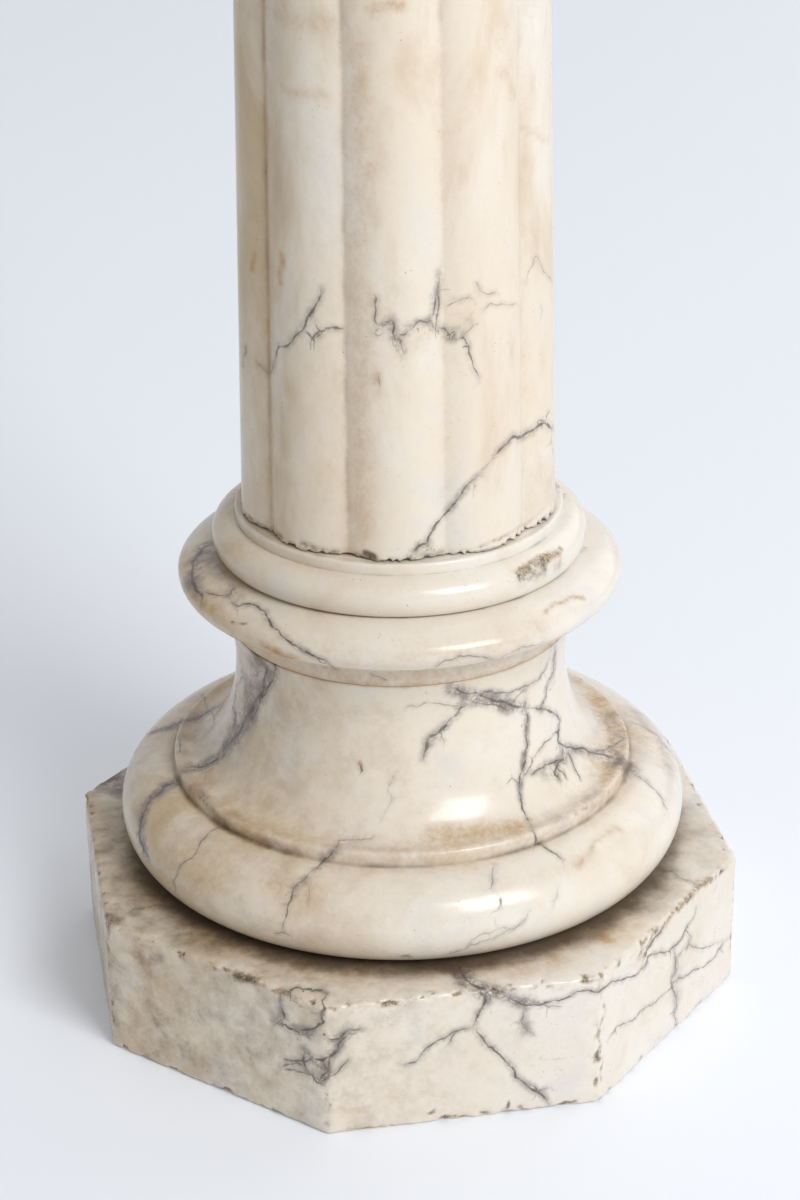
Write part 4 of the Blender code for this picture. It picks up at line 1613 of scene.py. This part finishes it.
class ColumnBase(bpy.types.Operator, Maker):
    """Model and dress the base"""

    bl_idname = "column.base"
    bl_label = "Base"

    def execute(self, context):
        sizes = context.scene.column_base
        piece = turn_stone("base_stone", "base", base_outline(sizes), around=512)
        broken = self.knock(context, piece, BASE_CHIPS, depth=0.0012)
        foot, top = foot_of("base"), top_of("base")
        lip = foot + sizes.torus_height
        # Soiling and painted shade in the crease at the lip's foot and inside the lip, a dark bed joint
        # at the head, and painted shadow under the torus where it sits on the plinth
        creases = (
            Crease("grime", sizes.lip_radius + 0.0008, lip, 0.0017, 0.5),
            Crease("stain", sizes.lip_radius + 0.001, lip, 0.006, 0.3),
            Crease("stain", sizes.lip_inner + 0.001, lip + sizes.lip_height, 0.008, 0.4),
            Crease("grime", sizes.lip_inner + 0.002, lip + sizes.lip_height, 0.004, 0.3),
            Crease("stain", sizes.head, top, 0.0012, 0.5),
            Crease("grime", reach_of("base") - sizes.torus_round, foot, 0.008, 0.95),
        )
        grown = (Area(reach_of("base"), foot, lip, 9), Area(sizes.head, lip, top, 7))
        self.dress(context, piece, BASE_VEINS, BASE_MARKS, creases, grown, broken, wear=0.5, warm=0.5)
        return {"FINISHED"}


class ColumnRing(bpy.types.Operator, Maker):
    """Model and dress the ring"""

    bl_idname = "column.ring"
    bl_label = "Ring"

    def execute(self, context):
        sizes = context.scene.column_ring
        piece = turn_stone("ring_stone", "ring", ring_outline(sizes), around=400)
        foot, top = foot_of("ring"), top_of("ring")
        fillet = top - sizes.fillet_height
        small = fillet - sizes.small_height
        large = small - sizes.large_height
        # Painted shade in the creases by the fillet and between the tori and under the large torus, dark
        # joints at the shaft's foot and at the bed, and warm painted shade on the collar under the large
        # torus
        creases = (
            Crease("grime", sizes.fillet_radius, fillet, 0.0012, 0.3),
            Crease("grime", sizes.small_radius - sizes.small_round, small, 0.0022, 0.56),
            Crease("grime", reach_of("ring") - sizes.large_round, large, 0.004, 0.4),
            Crease("grime", sizes.fillet_radius - 0.0021, top, 0.0020, 0.4),
            Crease("stain", sizes.collar_radius, foot, 0.0013, 0.5),
            Crease("stain", sizes.collar_radius, foot + 0.004, 0.012, 0.46),
        )
        grown = (Area(reach_of("ring"), foot, top, 10),)
        self.dress(context, piece, RING_VEINS, RING_MARKS, creases, grown, wear=0.15, warm=0.3)
        return {"FINISHED"}


class ColumnShaft(bpy.types.Operator, Maker):
    """Model and dress the reeded shaft"""

    bl_idname = "column.shaft"
    bl_label = "Shaft"

    def soil_and_shade_more(self, context, stone):
        soil_and_shade_valleys(stone, context.scene.column_shaft)

    def execute(self, context):
        sizes = context.scene.column_shaft
        piece = model_shaft("shaft_stone", sizes)
        foot, top = foot_of("shaft"), top_of("shaft")
        inside = sizes.radius - sizes.depth * 1.3

        def worn(place):
            if place.z > foot + sizes.chipped or math.hypot(place.x, place.y) < inside:
                return 0.0
            fade = max(0.0, 1.0 - (place.z - foot) / (0.4 * sizes.chipped))
            nick = max(0.0, noise.noise(Vector((place.x, place.y, 0.0)) * 430.0) - 0.02) * 2.0
            fine = max(0.0, noise.noise(place * 700.0)) * 0.6
            return min(1.0, fade * (nick + fine * fade))

        broken = self.knock(context, piece, SHAFT_CHIPS, depth=0.0026, worn=worn)
        creases = tuple(
            Crease("grime", sizes.radius - step * MM, foot, 0.0013, 0.5) for step in (0.0, 1.5, 3.0, 4.5))
        grown = (
            Area(sizes.radius, foot, 0.500, 11),
            Area(sizes.top_radius, 0.520, top, 12, ALL_ROUND),
        )
        self.dress(context, piece, SHAFT_VEINS, SHAFT_MARKS, creases, grown, broken,
                   stretch=0.4, wear=0.2, warm=0.75)
        return {"FINISHED"}


class ColumnCapital(bpy.types.Operator, Maker):
    """Model and dress the capital"""

    bl_idname = "column.capital"
    bl_label = "Capital"

    def execute(self, context):
        sizes = context.scene.column_capital
        piece = turn_stone("capital_stone", "capital", capital_outline(sizes), around=320)
        foot, top = foot_of("capital"), top_of("capital")
        necking = foot + sizes.astragal_height
        annulet = necking + sizes.necking_height
        echinus = annulet + sizes.annulet_height
        creases = (
            Crease("grime", sizes.necking_radius, necking, 0.0020, 0.5),
            Crease("grime", sizes.necking_radius, annulet, 0.0020, 0.4),
            Crease("grime", sizes.annulet_radius, echinus, 0.0020, 0.4),
        )
        grown = (Area(sizes.annulet_radius, foot, top, 9, ALL_ROUND),)
        self.dress(context, piece, {}, {}, creases, grown)
        return {"FINISHED"}


class ColumnAbacus(bpy.types.Operator, Maker):
    """Model and dress the abacus"""

    bl_idname = "column.abacus"
    bl_label = "Abacus"

    def execute(self, context):
        sizes = context.scene.column_slab
        piece = model_slab("abacus_stone", "abacus", sizes, sizes.middle)
        worn = worn_arrises("abacus", sizes.arris, sizes.wave)
        broken = self.knock(context, piece, {}, depth=0.0014, worn=worn)
        grown = (Area(reach_of("abacus"), foot_of("abacus"), top_of("abacus") + 0.03, 12, ALL_ROUND),)
        self.dress(context, piece, {}, {}, (), grown, broken, wear=0.5)
        return {"FINISHED"}


class ColumnStudio(bpy.types.Operator):
    """Set the camera, the floor and the lights"""

    bl_idname = "column.studio"
    bl_label = "Studio"
    bl_options = {"REGISTER", "UNDO"}

    def execute(self, context):
        studio = context.scene.column_studio
        make_camera(studio)
        make_floor(studio)
        make_lights(studio)
        context.scene.view_settings.view_transform = "Standard"
        return {"FINISHED"}


class ColumnPanel(bpy.types.Panel):
    """Lists the column's stones, sizes and colours"""

    bl_idname = "VIEW3D_PT_column"
    bl_label = "Column"
    bl_space_type = "VIEW_3D"
    bl_region_type = "UI"
    bl_category = "Column"

    def draw(self, context):
        for maker in MAKERS:
            self.layout.operator(maker.bl_idname)
        for group, name in GROUPS:
            box = self.layout.box()
            box.label(text=name.removeprefix("column_").capitalize())
            for setting in group.__annotations__:
                box.prop(getattr(context.scene, name), setting)


MAKERS = (ColumnPlinth, ColumnBase, ColumnRing, ColumnShaft, ColumnCapital, ColumnAbacus, ColumnStudio)

GROUPS = (
    (SlabSizes, "column_slab"),
    (BaseSizes, "column_base"),
    (RingSizes, "column_ring"),
    (ShaftSizes, "column_shaft"),
    (CapitalSizes, "column_capital"),
    (MarbleLook, "column_marble"),
    (StudioSetup, "column_studio"),
)


def register():
    for group, name in GROUPS:
        bpy.utils.register_class(group)
        setattr(bpy.types.Scene, name, PointerProperty(type=group))
    for maker in MAKERS:
        bpy.utils.register_class(maker)
    bpy.utils.register_class(ColumnPanel)


def unregister():
    bpy.utils.unregister_class(ColumnPanel)
    for maker in reversed(MAKERS):
        bpy.utils.unregister_class(maker)
    for group, name in reversed(GROUPS):
        delattr(bpy.types.Scene, name)
        bpy.utils.unregister_class(group)


def main():
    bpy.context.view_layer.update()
    register()
    bpy.ops.column.plinth()
    bpy.ops.column.base()
    bpy.ops.column.ring()
    bpy.ops.column.shaft()
    bpy.ops.column.capital()
    bpy.ops.column.abacus()
    bpy.ops.column.studio()


if __name__ == "__main__":
    main()
